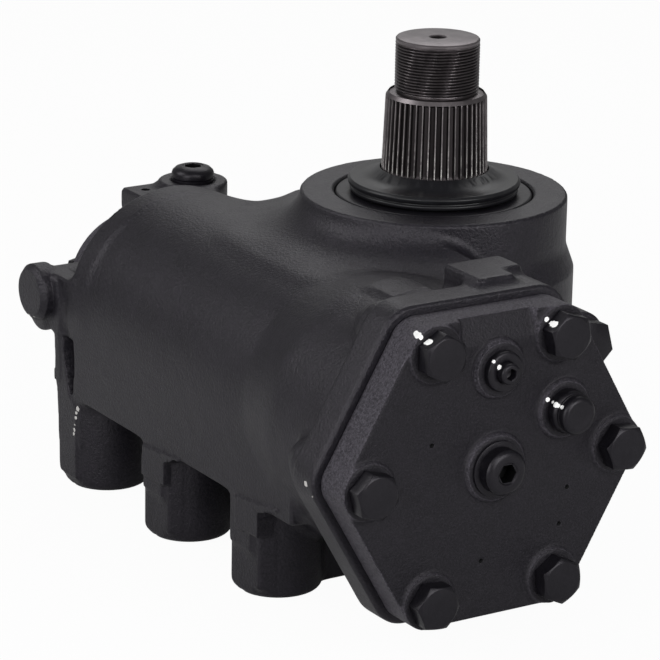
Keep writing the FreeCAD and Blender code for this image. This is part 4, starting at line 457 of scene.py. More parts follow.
def swell(obj, distance):
    mesh = obj.data
    count = len(mesh.vertices)
    places, normals = np.empty(count * 3, np.float32), np.empty(count * 3, np.float32)
    mesh.vertices.foreach_get("co", places)
    mesh.vertex_normals.foreach_get("vector", normals)
    mesh.vertices.foreach_set("co", places + normals * distance)
    mesh.update()


def crispened(obj, tree, cast):
    # Points that the closing left just inside the solid go back out to it, so outer edges stay crisp; fillets stay
    reach, fade = cast["crispReach"], cast["fadeReach"]
    for vertex in obj.data.vertices:
        foot, normal, _, away = tree.find_nearest(vertex.co, reach)
        if foot is None:
            continue
        inside = (vertex.co - foot).dot(normal) < 0
        share = cast["crispness"] if inside else cast["crispness"] * max(0.0, 1.0 - away / fade)
        vertex.co = vertex.co.lerp(foot, share)
    obj.data.update()


def nearSegment(point, start, end):
    run = end - start
    along = max(0.0, min(1.0, (point - start).dot(run) / max(run.length_squared, 1e-12)))
    return (point - start - along * run).length


def blended(obj, blends, rounds):
    # Soft pattern-maker's transitions: the skin is relaxed near each given line
    group = obj.vertex_groups.new(name="blend")
    lines = [(Vector(start), Vector(end), reach) for start, end, reach in blends]
    for vertex in obj.data.vertices:
        weight = 0.0
        for start, end, reach in lines:
            away = nearSegment(vertex.co, start, end)
            if away < reach:
                share = 1.0 - away / reach
                weight = max(weight, min(1.0, share * share * (3.0 - 2.0 * share) * 1.6))
        if weight > 0.0:
            group.add([vertex.index], weight, "REPLACE")
    addModifier(obj, "SMOOTH", {"factor": 0.8, "iterations": rounds, "vertex_group": "blend"})
    return baked(obj)


def drilled(obj, holes):
    bm = bmesh.new()
    for start, end, radius in holes:
        rodBetween(bm, start, end, radius, 28)
    return cutBy(obj, bm, "drill")


def castSkin(node, name, cast, material):
    # Swelling and shrinking the solid leaves a fillet in each inner corner, as the pattern maker's radius does
    bm = mergedCopy(node)
    for corners, run in cast["slabs"]:
        slab(bm, corners, run)
    bmesh.ops.recalc_face_normals(bm, faces=bm.faces)
    tree = BVHTree.FromBMesh(bm)
    for start, end, radius in cast["plugs"]:
        rodBetween(bm, start, end, radius)
    skin = remeshed(fromBmesh(name, bm), cast["voxel"])
    for step in (1, -1):
        for _ in range(cast["steps"]):
            swell(skin, step * cast["fillet"] / cast["steps"])
            skin = remeshed(skin, cast["voxel"])
    if cast["fineVoxel"] < cast["voxel"]:
        skin = remeshed(skin, cast["fineVoxel"])
    addModifier(skin, "SMOOTH", {"factor": 0.5, "iterations": cast["smoothing"]})
    skin = baked(skin)
    crispened(skin, tree, cast)
    if cast["carve"]:
        cast["carve"](skin)
    if cast["blends"]:
        skin = blended(skin, cast["blends"], cast["blendRounds"])
    addModifier(skin, "SMOOTH", {"factor": 0.25, "iterations": 1})
    addModifier(skin, "DECIMATE", {"ratio": min(1.0, cast["triangles"] / max(1, 2 * len(skin.data.polygons)))})
    skin = baked(skin)
    skin.data.materials.clear()
    skin.data.materials.append(material)
    skin = drilled(skin, cast["holes"])
    skin.data.shade_smooth()
    addModifier(skin, "WEIGHTED_NORMAL", {"mode": "FACE_AREA", "weight": 50, "keep_sharp": False})
    skin = baked(skin)
    print(name, "made,", len(skin.data.polygons), "faces")
    return fitted(skin, node, "gear_case")


# Round boss on the left side, whose lower mould half is set back below the parting line
sideBoss = {
    "x": -0.188,
    "z": 0.117,
    "radius": 0.018,
    "faceY": -0.174,
    "chamfer": 0.0032,
    "partingZ": 0.1022,
    "setback": 0.003,
    "reach": 0.026,
    "depth": 0.008,
}

# Flats and a groove on the left side: outlines in x and z, and the y that the skin takes inside them
pressings = {
    "yRange": (-0.17, -0.153),
    "topZ": 0.096,
    "outlines": [
        (-0.1585, [(-0.1602, 0.095), (-0.1576, 0.08), (-0.1516, 0.0605), (-0.1492, 0.06), (-0.147, 0.08),
                   (-0.1485, 0.095)]),
        (-0.166, [(-0.0585, 0.036), (-0.031, 0.037), (-0.031, 0.052), (-0.014, 0.058), (-0.014, 0.06),
                   (-0.0585, 0.0555)]),
        (-0.166, [(0.051, 0.0385), (0.077, 0.04), (0.077, 0.0555), (0.0975, 0.0625), (0.0975, 0.0645),
                   (0.051, 0.0585)]),
    ],
}


def insideOutline(x, z, outline):
    # Even and odd crossings tell whether the point lies inside the outline
    inside = False
    for (x0, z0), (x1, z1) in zip(outline, outline[1:] + outline[:1]):
        if (z0 > z) != (z1 > z) and x < x0 + (z - z0) * (x1 - x0) / (z1 - z0):
            inside = not inside
    return inside


def carveLeftSide(obj):
    boss = sideBoss
    nearY, farY = pressings["yRange"]
    for vertex in obj.data.vertices:
        if nearY < vertex.co.y < farY and vertex.co.z < pressings["topZ"]:
            for level, outline in pressings["outlines"]:
                if insideOutline(vertex.co.x, vertex.co.z, outline):
                    vertex.co.y = level
        across, up, depth = vertex.co.x - boss["x"], vertex.co.z - boss["z"], vertex.co.y - boss["faceY"]
        away = math.hypot(across, up)
        if away > boss["reach"] or depth > boss["depth"]:
            continue
        limit = boss["radius"] - max(0.0, boss["chamfer"] - depth)
        if away > limit:
            vertex.co.x, vertex.co.z = boss["x"] + across * limit / away, boss["z"] + up * limit / away
        if vertex.co.z < boss["partingZ"] and depth < boss["setback"]:
            vertex.co.y = boss["faceY"] + boss["setback"]
    obj.data.update()


# The saddle between barrel and output boss: rods under its line fill the corner, and blends soften it
saddle = {
    "line": [(-0.1, -0.0625, 0.1765), (-0.09, -0.076, 0.181), (-0.07, -0.095, 0.1822),
             (-0.053, -0.1085, 0.1805), (-0.02, -0.1113, 0.1798), (0.012, -0.1114, 0.1798),
             (0.045, -0.1113, 0.1798), (0.065, -0.1, 0.183)],
    "drop": 0.0128,
    "rodRadius": 0.014,
    "reach": 0.031,
}
saddleSpans = list(zip(saddle["line"], saddle["line"][1:]))
saddleRods = [((x0, y0, z0 - saddle["drop"]), (x1, y1, z1 - saddle["drop"]), saddle["rodRadius"])
              for (x0, y0, z0), (x1, y1, z1) in saddleSpans]
saddleBlends = [(start, end, saddle["reach"]) for start, end in saddleSpans]

# Behind the saddle the barrel swells up to the boss
swellRods = [((-0.168, -0.0632, 0.1592), (-0.122, -0.0603, 0.1645), 0.014),
             ((-0.122, -0.0603, 0.1645), (-0.096, -0.0575, 0.1685), 0.014)]
swellBlends = [((-0.15, -0.056, 0.1735), (-0.12, -0.0548, 0.176), 0.026),
               ((-0.12, -0.0548, 0.176), (-0.096, -0.053, 0.179), 0.03)]


def onBarrel(x, radius, angle):
    return (x, axisY + radius * math.cos(math.radians(angle)), axisZ + radius * math.sin(math.radians(angle)))


# Soft steps round the barrel where it widens towards the flange: place along it and reach
barrelSteps = ((0.056, 0.006), (0.094, 0.0095))
stepBlends = [(onBarrel(x, 0.077, a), onBarrel(x, 0.077, a + 18), reach) for x, reach in barrelSteps
              for a in range(84, 210, 18)]

# Flat rib from the barrel down to the first foot, and the flat pads on the other two
ribLine = [(-0.1722, 0.098), (-0.1613, 0.098), (-0.1523, 0.059), (-0.143, 0.053), (-0.1425, 0.006),
           (-0.1652, 0.006), (-0.1684, 0.052), (-0.1704, 0.077)]
footSlabs = [
    ([(-0.059, -0.1626, 0.006), (-0.0315, -0.1626, 0.006), (-0.027, -0.156, 0.006),
      (-0.059, -0.15, 0.006)], (0, 0, 0.05)),
    ([(0.045, -0.1626, 0.006), (0.0735, -0.1626, 0.006), (0.0775, -0.154, 0.006),
      (0.045, -0.15, 0.006)], (0, 0, 0.05)),
]

# The plugs close the bores, so that the voxels make one solid, and fill out the side boss and the saddle
housingCast = {
    "voxel": 0.0015, "fineVoxel": 0.0011, "fillet": 0.0036, "steps": 2, "smoothing": 3,
    "crispReach": 0.0022, "fadeReach": 0.0004, "crispness": 0.8, "triangles": 190000,
    "plugs": [((0, 0, 0.0275), (0, 0, 0.188), 0.064),
              ((0.18, axisY, axisZ), (-0.134, axisY, axisZ), 0.0615),
              ((-0.13, axisY, axisZ), (-0.19, axisY, axisZ), 0.037),
              ((-0.1905, -0.1712, 0.1095), (-0.189, -0.158, 0.1095), 0.0182)] + saddleRods + swellRods,
    "slabs": [([(x, -0.1655, z) for x, z in ribLine], (0, 0.014, 0))] + footSlabs,
    "carve": carveLeftSide,
    "blends": saddleBlends + swellBlends + [
        ((0.065, -0.1, 0.183), (0.1, -0.1, 0.19), 0.018),
        ((-0.135, -0.166, 0.115), (0.05, -0.166, 0.113), 0.024),
        ((0.145, -0.1329, 0.1808), (0.136, -0.1329, 0.1808), 0.012),
        ((0.145, -0.1738, 0.11), (0.136, -0.1738, 0.11), 0.012),
        ((0.145, -0.1329, 0.0392), (0.136, -0.1329, 0.0392), 0.021)] + stepBlends,
    "blendRounds": 80,
    "holes": [((-0.192, -0.0895, 0.16), (-0.192, -0.0895, 0.174), 0.0026)],
}
castSkin("housing", "castHousing", housingCast, blackCastEnamel)

# Four dimples in the cover's face, from the barrel axis; their walls take the painted shade of a hole
dimples = ((0.0495, -0.0202), (-0.0067, -0.0534), (-0.0413, 0.0191), (0.045, -0.041))
coverCast = {
    "voxel": 0.0009, "fineVoxel": 0.0009, "fillet": 0.0012, "steps": 1, "smoothing": 2,
    "crispReach": 0.0016, "fadeReach": 0.0003, "crispness": 0.8, "triangles": 120000,
    "plugs": [((0.1745, axisY, axisZ), (0.193, axisY, axisZ), 0.0595)],
    "slabs": [], "carve": None, "blends": [], "blendRounds": 0,
    "holes": [((gear["coverFaceX"] - 0.0018, axisY + y, axisZ + z), (gear["coverFaceX"] + 0.004, axisY + y, axisZ + z),
               0.0014) for y, z in dimples],
}
castSkin("end_cover", "castEndCover", coverCast, coverEnamel)


# Fasteners and plugs

def pieceName(node):
    first, *rest = node.split("_")
    return first + "".join(word.title() for word in rest)


def bevelled(obj, edge, angle):
    addModifier(obj, "BEVEL", {"width": edge, "segments": 2, "limit_method": "ANGLE",
                               "angle_limit": math.radians(angle)})
    return baked(obj)


def softened(node, material, body, edge):
    # The CAD solid with its sharp edges broken, as tumbling and paint leave them
    bm = mergedCopy(node)
    bmesh.ops.dissolve_limit(bm, angle_limit=math.radians(1.0), verts=bm.verts, edges=bm.edges)
    piece = bevelled(fromBmesh(pieceName(node), bm, material), edge, 28)
    smoothShade(piece, 32)
    return fitted(piece, node, body)


# How far the edges of each small part are broken
brokenEdges = {
    "centre_plug_washer": 0.0003,
    "limiter_screw": 0.0004,
    "limiter_lock_ring": 0.0006,
    "relief_valve": 0.0006,
    "blanking_plug": 0.0007,
    "seal_carrier": 0.0004,
    "side_cover": 0.001,
    "side_cover_bolts": 0.0004,
    "lash_screw": 0.0004,
    "lash_lock_nut": 0.0005,
    "input_cover": 0.0006,
    "input_cover_bolts": 0.0003,
}
for node, edge in brokenEdges.items():
    if node in ("side_cover", "input_cover"):
        softened(node, coverEnamel, "gear_case", edge)
    else:
        softened(node, fastenerEnamel, "gear_case", edge)


def polar(radius, z, angle):
    return (radius * math.cos(angle), radius * math.sin(angle), z)


def turnedPiece(name, profile, segments=96, material=None, dark=()):
    # profile: radius and height pairs from the axis out and back to it; the spans named in dark get the painted shade
    # of a hole
    bm = bmesh.new()
    rings, finish = [], []
    for radius, z in profile:
        around = segments if radius > 1e-7 else 1
        rings.append([bm.verts.new(polar(radius, z, 2 * math.pi * i / segments)) for i in range(around)])
    for span, (low, high) in enumerate(zip(rings, rings[1:])):
        for i in range(segments):
            j = (i + 1) % segments
            corners = [low[i % len(low)], low[j % len(low)], high[j % len(high)], high[i % len(high)]]
            unique = list(dict.fromkeys(corners))
            if len(unique) > 2:
                bm.faces.new(unique)
                finish.append(1 if span in dark else 0)
    piece = fromBmesh(name, bm, material)
    if dark:
        piece.data.materials.append(holeShadeBlack)
        piece.data.polygons.foreach_set("material_index", finish)
    return piece


def plugRoom(node, axis):
    # Height and radius of a plug's CAD solid, and the frame that lays a plug made along Z in its place
    low, high = (Vector(corner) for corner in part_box(node))
    mid = (low + high) / 2
    if axis == "Z":
        return high.z - low.z, (high.x - low.x) / 2, Matrix.Translation((mid.x, mid.y, low.z))
    turn = Matrix.Rotation(math.radians(90), 4, "Y")
    return high.x - low.x, (high.y - low.y) / 2, Matrix.Translation((low.x, mid.y, mid.z)) @ turn


def settled(piece, node, place):
    placed(piece, place)
    smoothShade(piece, 30)
    return fitted(piece, node, "gear_case")


# Plug in the port on top. Depths count from the face, and the dome holds pairs of inward step and depth
portPlug = {
    "axis": "Z",
    "segments": 72,
    "stem": 0.009,
    "collar": 0.015,
    "edge": 0.0004,
    "grooves": (0.0125, 0.01, 0.0075),
    "dome": ((0, 0.0045), (0.0006, 0.003), (0.0025, 0.0012), (0.005, 0.0003)),
    "countersink": ((0.0068, 0), (0.0062, 0.0004), (0, 0.0004)),
    "socketDepth": 0.008,
}

# Large plug at the middle of the cover, standing on its ring
centrePlug = {
    "axis": "X",
    "segments": 96,
    "stem": 0.0088,
    "collar": 0.01,
    "edge": 0.0003,
    "grooves": (),
    "dome": ((0, 0.0022), (0.0006, 0.0013), (0.0018, 0.0004), (0.0032, 0)),
    "countersink": ((0.0066, 0), (0.0059, 0.0007), (0, 0.0007)),
    "socketDepth": 0.009,
}
socketFlats, grooveHalf, grooveDepth = 0.01, 0.0004, 0.0007


def socketPlug(node, plug):
    # A turned plug with a domed face and a hexagon socket
    top, radius, place = plugRoom(node, plug["axis"])
    stem, edge, collar = plug["stem"], plug["edge"], top - plug["collar"]
    profile = [(0, 0), (stem, 0), (stem, collar), (radius - edge, collar), (radius, collar + edge)]
    for level in (top - depth for depth in plug["grooves"]):
        profile += [(radius, level - grooveHalf), (radius - grooveDepth, level), (radius, level + grooveHalf)]
    profile += [(radius - inward, top - depth) for inward, depth in plug["dome"]]
    profile += [(ring, top - depth) for ring, depth in plug["countersink"]]
    piece = turnedPiece(pieceName(node), profile, plug["segments"], fastenerEnamel)
    bm = bmesh.new()
    rodBetween(bm, (0, 0, top - plug["socketDepth"]), (0, 0, top + 0.004), socketFlats / math.sqrt(3), 6)
    return settled(cutBy(piece, bm, "socket"), node, place)


def reliefCap(node):
    # Turned cap of the relief valve: a fine groove at its foot and a slightly dished face
    face, radius, place = plugRoom(node, "X")
    profile = [(0, 0), (radius, 0), (radius, 0.001), (radius - 0.0006, 0.0014), (radius, 0.0019),
               (radius, face - 0.0026), (radius - 0.0004, face - 0.0015), (radius - 0.0016, face - 0.0004),
               (radius - 0.003, face), (radius * 0.55, face - 0.0004), (0, face - 0.0006)]
    return settled(turnedPiece(pieceName(node), profile, 96, fastenerEnamel), node, place)


socketPlug("port_plug", portPlug)
socketPlug("centre_plug", centrePlug)
reliefCap("relief_valve_cap")

# CAD nodes whose shape is right keep it and get the real finish
plainFinish = {
    "end_cover_seal": sealRubber, "side_cover_seal": sealRubber, "input_cover_seal": sealRubber,
    "sector_shaft_seal": sealRubber, "input_shaft_seal": sealRubber, "input_dust_cap": sealRubber,
    "piston": pistonIron, "piston_ring": ringPlastic, "sleeve_seal_rings": ringPlastic,
    "input_shaft": darkSteel,
}
steelNodes = ["upper_bearing_race", "upper_bearing_rollers", "lower_bearing_race", "lower_bearing_rollers",
              "lash_retainer", "recirculating_balls", "worm", "worm_bearing_inner", "worm_bearing_outer",
              "worm_bearing_balls", "bearing_retaining_ring", "torsion_bar", "input_end_pin", "valve_sleeve",
              "sleeve_drive_pin", "input_bearing_cup", "input_bearing_needles", "ball_return_guide",
              "return_guide_screws"]
plainFinish.update({node: brightSteel for node in steelNodes})
for node, material in plainFinish.items():
    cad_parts[node].data.materials.clear()
    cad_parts[node].data.materials.append(material)
print("small parts finished")


# Six bolts round the end cover, by Geometry Nodes

coverBolt = {
    "acrossFlats": 0.024,
    "headHeight": 0.01,
    "washerRadius": 0.0116,
    "washerHeight": 0.0006,
    "chamferAngle": 30.0,
    "chamferShare": 0.94,
    "footBand": 0.0004,
    "shankRadius": 0.0079,
    "shankLength": 0.05,
    "edge": 0.0006,
    "turns": [22.0, 12.0, 0.0, 14.0, 24.0, 4.0],
}


def hexHead(bolt):
    # Each corner is cut down by the cone of the chamfer, which leaves the usual curved line on every flat
    bm = bmesh.new()
    apothem = bolt["acrossFlats"] / 2
    flatRadius, foot = bolt["chamferShare"] * apothem, bolt["washerHeight"]
    slope = math.tan(math.radians(bolt["chamferAngle"]))
    around = 6 * 8
    angles = [2 * math.pi * i / around for i in range(around)]
    columns = []
    for angle in angles:
        inSide = (angle + math.pi / 6) % (math.pi / 3) - math.pi / 6
        wall = apothem / math.cos(inSide)
        top = bolt["headHeight"] - max(0.0, wall - flatRadius) * slope
        columns.append([(wall, foot), (wall, foot + bolt["footBand"]), (wall, (foot + top) / 2), (wall, top),
                        (flatRadius, bolt["headHeight"])])
    head = [[bm.verts.new(polar(*column[level], angle)) for angle, column in zip(angles, columns)]
            for level in range(len(columns[0]))]
    washer = [[bm.verts.new(polar(bolt["washerRadius"], z, angle)) for angle in angles] for z in (0.0, foot)]
    rings = washer + head
    for low, high in zip(rings, rings[1:]):
        for i in range(around):
            j = (i + 1) % around
            bm.faces.new((low[i], low[j], high[j], high[i]))
    bm.faces.new(rings[-1])
    bm.faces.new(rings[0][::-1])
    rodBetween(bm, (0, 0, -bolt["shankLength"]), (0, 0, -0.0001), bolt["shankRadius"], 40)
    return fromBmesh("coverBoltHead", bm, fastenerEnamel)


def nodeGroup(name, inputs):
    # A Geometry Nodes group with the given inputs, each a kind of socket and perhaps a value
    tree = bpy.data.node_groups.new(name, "GeometryNodeTree")
    for label, (kind, value) in inputs.items():
        socket = tree.interface.new_socket(label, in_out="INPUT", socket_type="NodeSocket" + kind)
        if value is not None:
            socket.default_value = value
    tree.interface.new_socket("Geometry", in_out="OUTPUT", socket_type="NodeSocketGeometry")
    return tree, addNode(tree, "NodeGroupInput").outputs


def groupEnd(tree, geometry, finish):
    real = addNode(tree, "GeometryNodeRealizeInstances", links={0: geometry}).outputs[0]
    dressed = addNode(tree, "GeometryNodeSetMaterial", links={"Geometry": real, "Material": finish}).outputs[0]
    addNode(tree, "NodeGroupOutput", links={0: dressed})
    return tree


def ringOfCopies(name):
    # Copies of the given piece on the points of a unit circle, each turned by the stored attribute of its point
    tree, entry = nodeGroup(name, {"Geometry": ("Geometry", None), "Piece": ("Object", None),
                                   "Circle Radius": ("Float", 0.08), "Finish": ("Material", None)})
    place = addNode(tree, "GeometryNodeInputPosition").outputs[0]
    wide = addNode(tree, "ShaderNodeVectorMath", {"operation": "SCALE"},
                   links={0: place, "Scale": entry["Circle Radius"]}).outputs[0]
    spots = addNode(tree, "GeometryNodeSetPosition", links={"Geometry": entry["Geometry"], "Position": wide}).outputs[0]
    turn = addNode(tree, "GeometryNodeInputNamedAttribute", {"data_type": "FLOAT"}, {"Name": "turn"}).outputs[0]
    spin = addNode(tree, "ShaderNodeCombineXYZ", links={"Z": turn}).outputs[0]
    piece = addNode(tree, "GeometryNodeObjectInfo", links={"Object": entry["Piece"]}).outputs["Geometry"]
    onPoints = addNode(tree, "GeometryNodeInstanceOnPoints",
                       links={"Points": spots, "Instance": piece, "Rotation": spin}).outputs[0]
    return groupEnd(tree, onPoints, entry["Finish"])


def setInputs(modifier, values):
    for item in modifier.node_group.interface.items_tree:
        if item.item_type == "SOCKET" and item.in_out == "INPUT" and item.name in values:
            modifier[item.identifier] = values[item.name]


def coverBolts(bolt):
    boltHead = bevelled(hexHead(bolt), bolt["edge"], 22)
    carrierMesh = bpy.data.meshes.new("coverBolts")
    count = len(bolt["turns"])
    carrierMesh.from_pydata([polar(1.0, 0, 2 * math.pi * i / count) for i in range(count)], [], [])
    turns = carrierMesh.attributes.new("turn", "FLOAT", "POINT").data
    turns.foreach_set("value", [math.radians(turn) for turn in bolt["turns"]])
    carrier = meshObject("coverBolts", carrierMesh)
    spread = carrier.modifiers.new("aroundCover", "NODES")
    spread.node_group = ringOfCopies("boltsRoundCover")
    setInputs(spread, {"Piece": boltHead, "Circle Radius": gear["boltCircle"], "Finish": fastenerEnamel})
    bolts = baked(carrier)
    bpy.data.objects.remove(boltHead)
    outward = Matrix.Rotation(math.radians(90), 4, "Y") @ Matrix.Rotation(math.radians(90), 4, "Z")
    placed(bolts, Matrix.Translation((gear["boltPadX"], axisY, axisZ)) @ outward)
    smoothShade(bolts, 30)
    return fitted(bolts, "end_cover_bolts", "gear_case")


coverBolts(coverBolt)
print("cover bolts made")


# Output shaft: serrated taper and end thread, by Geometry Nodes

outputShaft = {
    "footRadius": 0.0317,
    "topRadius": 0.03,
    "toothDepth": 0.0019,
    "teeth": 48,
    "threadRadius": 0.025,
    "threadDepth": 0.00115,
    "threadPitch": 0.0018,
    "coreFoot": 0.215,
    "centreHole": 0.005,
    "centreDepth": 0.0045,
}

# Shares of a ridge's width where its groove begins and ends, and the chamfer at the ends in run-outs and metres
ridgeRules = {
    "teeth": {"groove": (0.055, 0.21), "collar": 0.0024, "chamferReach": 0.6, "chamferDepth": 0.0026},
    "thread": {"groove": (0.1, 0.86), "chamferReach": 1.0, "chamferDepth": 0.0016},
}


def ridgedRound(name, kind):
    # A fine cylinder whose wall is pushed in and out by a rule: teeth along it, or a thread round it
    rule = ridgeRules[kind]
    tree, entry = nodeGroup(name, {
        "Ridges": ("Int", 48), "Around": ("Int", 384), "Along": ("Int", 40), "Finish": ("Material", None),
        "Foot Radius": ("Float", 0.03), "Top Radius": ("Float", 0.03), "Ridge Depth": ("Float", 0.001),
        "Height": ("Float", 0.03), "Pitch": ("Float", 0.002), "Run Out": ("Float", 0.003)})

    def calc(operation, *terms):
        return mathNode(tree, operation, *terms)

    drum = addNode(tree, "GeometryNodeMeshCylinder", {"fill_type": "NONE"}, {"Radius": 1.0},
                   {"Vertices": entry["Around"], "Side Segments": entry["Along"], "Depth": entry["Height"]})
    place = addNode(tree, "GeometryNodeInputPosition").outputs[0]
    parts = partsOf(tree, place)
    height = calc("ADD", parts[2], calc("MULTIPLY", entry["Height"], 0.5))
    below = calc("SUBTRACT", entry["Height"], height)
    turns = calc("DIVIDE", calc("ARCTAN2", parts[1], parts[0]), 2 * math.pi)
    fromFoot, fromTop = (calc("DIVIDE", away, entry["Run Out"]) for away in (height, below))
    if kind == "teeth":
        phase = calc("FRACT", calc("MULTIPLY", turns, entry["Ridges"]))
        groove = mapped(tree, calc("ABSOLUTE", calc("SUBTRACT", phase, 0.5)), rule["groove"], kind="SMOOTHSTEP")
        fade = calc("MULTIPLY", mapped(tree, fromFoot, kind="SMOOTHSTEP"), calc("GREATER_THAN", below, rule["collar"]))
        groove = calc("MULTIPLY", groove, fade)
        edge = calc("MINIMUM", fromTop, 1.0)
    else:
        phase = calc("FRACT", calc("SUBTRACT", calc("DIVIDE", height, entry["Pitch"]), turns))
        wave = calc("MULTIPLY", calc("ABSOLUTE", calc("SUBTRACT", phase, 0.5)), 2.0)
        groove = mapped(tree, wave, rule["groove"])
        edge = calc("MINIMUM", fromTop, fromFoot)
    cut = calc("MULTIPLY", groove, entry["Ridge Depth"])
    chamfer = calc("MULTIPLY", calc("MAXIMUM", calc("SUBTRACT", rule["chamferReach"], edge), 0.0), rule["chamferDepth"])
    share = calc("DIVIDE", height, entry["Height"])
    base = mapped(tree, share, toRange=(entry["Foot Radius"], entry["Top Radius"]))
    radius = calc("SUBTRACT", calc("SUBTRACT", base, chamfer), cut)
    moved = addNode(tree, "ShaderNodeCombineXYZ", links={
        0: calc("MULTIPLY", parts[0], radius), 1: calc("MULTIPLY", parts[1], radius), 2: height}).outputs[0]
    shaped = addNode(tree, "GeometryNodeSetPosition",
                     links={"Geometry": drum.outputs["Mesh"], "Position": moved}).outputs[0]
    return groupEnd(tree, shaped, entry["Finish"])


def ridgedPiece(name, kind, sizes, lift):
    carrier = meshObject(name, bpy.data.meshes.new(name))
    modifier = carrier.modifiers.new("rule", "NODES")
    modifier.node_group = ridgedRound(name + "Rule", kind)
    setInputs(modifier, sizes)
    piece = baked(carrier)
    piece.data.polygons.foreach_set("material_index", [0] * len(piece.data.polygons))
    return placed(piece, Matrix.Translation((0, 0, lift)))


def joined(name, objs):
    bm = bmesh.new()
    for obj in objs:
        bm.from_mesh(obj.data)
    mesh = bpy.data.meshes.new(name)
    bm.to_mesh(mesh)
    bm.free()
    for obj in objs:
        bpy.data.objects.remove(obj)
    return meshObject(name, mesh)


def makeOutputShaft(shaft):
    foot, splineTop, top = shaft["coreFoot"], gear["splineTopZ"], gear["shaftTopZ"]
    splineFoot = gear["splineFootZ"] - 0.002
    serrations = ridgedPiece("serrations", "teeth", {
        "Ridges": shaft["teeth"], "Around": shaft["teeth"] * 12, "Along": 44, "Foot Radius": shaft["footRadius"],
        "Top Radius": shaft["topRadius"], "Ridge Depth": shaft["toothDepth"], "Height": splineTop - splineFoot,
        "Run Out": 0.004, "Finish": darkSteel}, splineFoot)
    threadFoot = splineTop + 0.0003
    threadHeight = top - 0.0014 - threadFoot
    endThread = ridgedPiece("endThread", "thread", {
        "Around": 120, "Along": int(threadHeight / shaft["threadPitch"] * 12), "Foot Radius": shaft["threadRadius"],
        "Top Radius": shaft["threadRadius"], "Ridge Depth": shaft["threadDepth"], "Pitch": shaft["threadPitch"],
        "Height": threadHeight, "Run Out": 0.0012, "Finish": darkSteel}, threadFoot)
    core = turnedPiece("shaftCore", [
        (0, foot - 0.01), (0.0335, foot - 0.01), (0.0335, foot - 0.001), (0.0318, foot + 0.003),
        (0.0294, foot + 0.004), (0.028, splineTop - 0.004), (0.028, splineTop - 0.001),
        (0.0236, splineTop + 0.0002), (0.0236, gear["threadFootZ"] + 0.001), (0.023, top - 0.003),
        (0, top - 0.004)])
    # the end face, with painted shade inside the centre hole of the lathe
    endFace = turnedPiece("shaftEnd", [
        (0.0236, top - 0.005), (0.0249, top - 0.0019), (0.0249, top - 0.0009), (0.0243, top - 0.0002),
        (0.0237, top), (shaft["centreHole"] + 0.0004, top), (shaft["centreHole"], top - 0.0003),
        (0.003, top - 0.0022), (0.0022, top - shaft["centreDepth"]), (0, top - shaft["centreDepth"])],
        96, darkSteel, (7, 8))
    # the CAD shaft is kept up to the foot of the core
    lower = mergedCopy("sector_shaft")
    geometry = list(lower.verts) + list(lower.edges) + list(lower.faces)
    bmesh.ops.bisect_plane(lower, geom=geometry, plane_co=(0, 0, foot), plane_no=(0, 0, 1), clear_outer=True)
    bmesh.ops.holes_fill(lower, edges=[edge for edge in lower.edges if edge.is_boundary], sides=0)
    lowerShaft = fromBmesh("lowerShaft", lower, darkSteel)
    whole = joined("outputShaft", [lowerShaft, core, serrations, endThread, endFace])
    whole.data.materials.append(darkSteel)
    whole.data.materials.append(holeShadeBlack)
    smoothShade(whole, 34)
    return fitted(whole, "sector_shaft", "output_shaft")


makeOutputShaft(outputShaft)
softened("dust_seal", sealRubber, "output_shaft", 0.0006)
print("output shaft made")


# Camera, lamps and floor

camera = {"place": (1.6729, -1.1277, 0.7476), "azimuth": 57.725, "elevation": 17.359, "roll": 1.123, "lens": 190.9}


def aimedCamera(view):
    azimuth, elevation, roll = (math.radians(view[key]) for key in ("azimuth", "elevation", "roll"))
    back = Vector((math.sin(azimuth) * math.cos(elevation), -math.cos(azimuth) * math.cos(elevation),
                   math.sin(elevation)))
    level = Vector((math.cos(azimuth), math.sin(azimuth), 0))
    up = back.cross(level)
    right = math.cos(roll) * level + math.sin(roll) * up
    top = -math.sin(roll) * level + math.cos(roll) * up
    data = bpy.data.cameras.new("studioCamera")
    data.lens, data.sensor_width, data.clip_end = view["lens"], 36.0, 50.0
    obj = bpy.data.objects.new("studioCamera", data)
    scene.collection.objects.link(obj)
    obj.matrix_world = Matrix.Translation(view["place"]) @ Matrix((right, top, back)).transposed().to_4x4()
    scene.camera = obj


aimedCamera(camera)

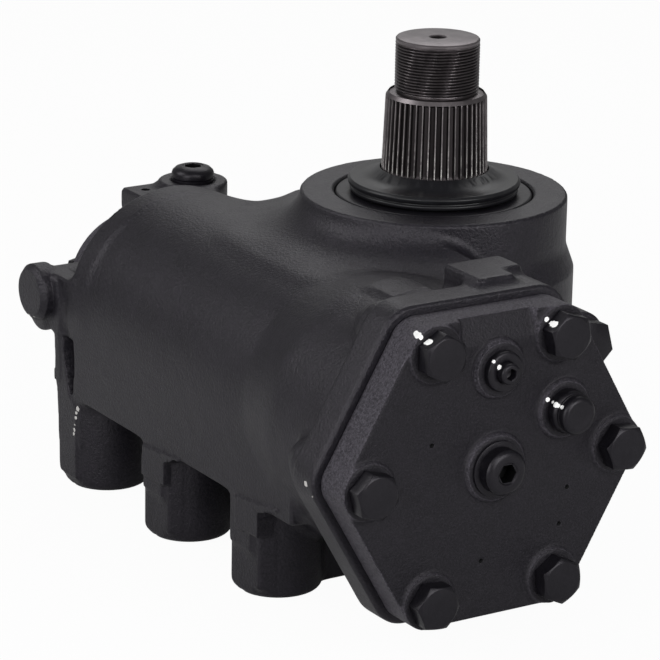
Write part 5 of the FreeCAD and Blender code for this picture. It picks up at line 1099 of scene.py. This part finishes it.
# Soft boxes aimed at the gear, in metres and watts
lampAim = (0, 0, 0.1)
lamps = {
    "highBack": {"place": (-0.9, 0.7, 1.6), "size": (1.4, 1.4), "power": 12.0},
    "highLeft": {"place": (-0.9, -1.8, 1.5), "size": (1.2, 1.2), "power": 21.0},
    "frontLeft": {"place": (0.9, -2.0, 0.8), "size": (1.2, 1.2), "power": 20.0},
    "frontRight": {"place": (2.2, 0.3, 0.8), "size": (1.2, 1.2), "power": 27.0},
    "highFront": {"place": (2.0, -0.8, 1.6), "size": (1.2, 1.2), "power": 14.0},
    "lowBack": {"place": (-1.9, 0.9, 0.7), "size": (1.4, 1.2), "power": 1.2},
}
for name, lamp in lamps.items():
    data = bpy.data.lights.new(name, "AREA")
    data.shape, data.energy = "RECTANGLE", lamp["power"]
    data.size, data.size_y = lamp["size"]
    obj = bpy.data.objects.new(name, data)
    scene.collection.objects.link(obj)
    obj.location = lamp["place"]
    obj.rotation_euler = (Vector(lampAim) - Vector(lamp["place"])).to_track_quat("-Z", "Y").to_euler()

# The white surround: dim as a light, brighter where something glossy mirrors it, and white to the camera
studio = {
    "ambient": 0.1,
    "mirrored": 0.22,
    "paper": "#d4d4d4",
    "paperSeen": 0.96,
    "paperMirrored": 0.05,
    "floorSize": 6.0,
}


def whiteSurround():
    scene.world = bpy.data.worlds.new("studio")
    tree = emptyTree(scene.world)
    rays = addNode(tree, "ShaderNodeLightPath").outputs
    dim, mirror, bright = (
        addNode(tree, "ShaderNodeBackground", values={"Color": (1, 1, 1, 1), "Strength": strength}).outputs[0]
        for strength in (studio["ambient"], studio["mirrored"], 1.0))
    polished = addNode(tree, "ShaderNodeMixShader", links={0: rays["Is Glossy Ray"], 1: dim, 2: mirror}).outputs[0]
    mixed = addNode(tree, "ShaderNodeMixShader", links={0: rays["Is Camera Ray"], 1: polished, 2: bright})
    addNode(tree, "ShaderNodeOutputWorld", links={0: mixed.outputs[0]})


def paperSweep():
    # White seamless paper: matte under the lamps, and white to the camera outside the gear's shadow
    material = bpy.data.materials.new("whitePaperSweep")
    tree = emptyTree(material)
    rays = addNode(tree, "ShaderNodeLightPath").outputs
    matte = addNode(tree, "ShaderNodeBsdfDiffuse", values={"Color": linear(studio["paper"])})
    glow = addNode(tree, "ShaderNodeEmission", values={"Color": (1, 1, 1, 1), "Strength": 1.0})
    reflected = mathNode(tree, "MULTIPLY", rays["Is Glossy Ray"], studio["paperMirrored"])
    seen = mathNode(tree, "MULTIPLY_ADD", rays["Is Camera Ray"], studio["paperSeen"], reflected)
    sweep = addNode(tree, "ShaderNodeMixShader", links={0: seen, 1: matte.outputs[0], 2: glow.outputs[0]})
    addNode(tree, "ShaderNodeOutputMaterial", links={0: sweep.outputs[0]})
    return material


whiteSurround()
floorMesh = bmesh.new()
bmesh.ops.create_grid(floorMesh, x_segments=1, y_segments=1, size=studio["floorSize"])
floor = fromBmesh("studioFloor", floorMesh)
floor.data.materials.append(paperSweep())
print("studio set")
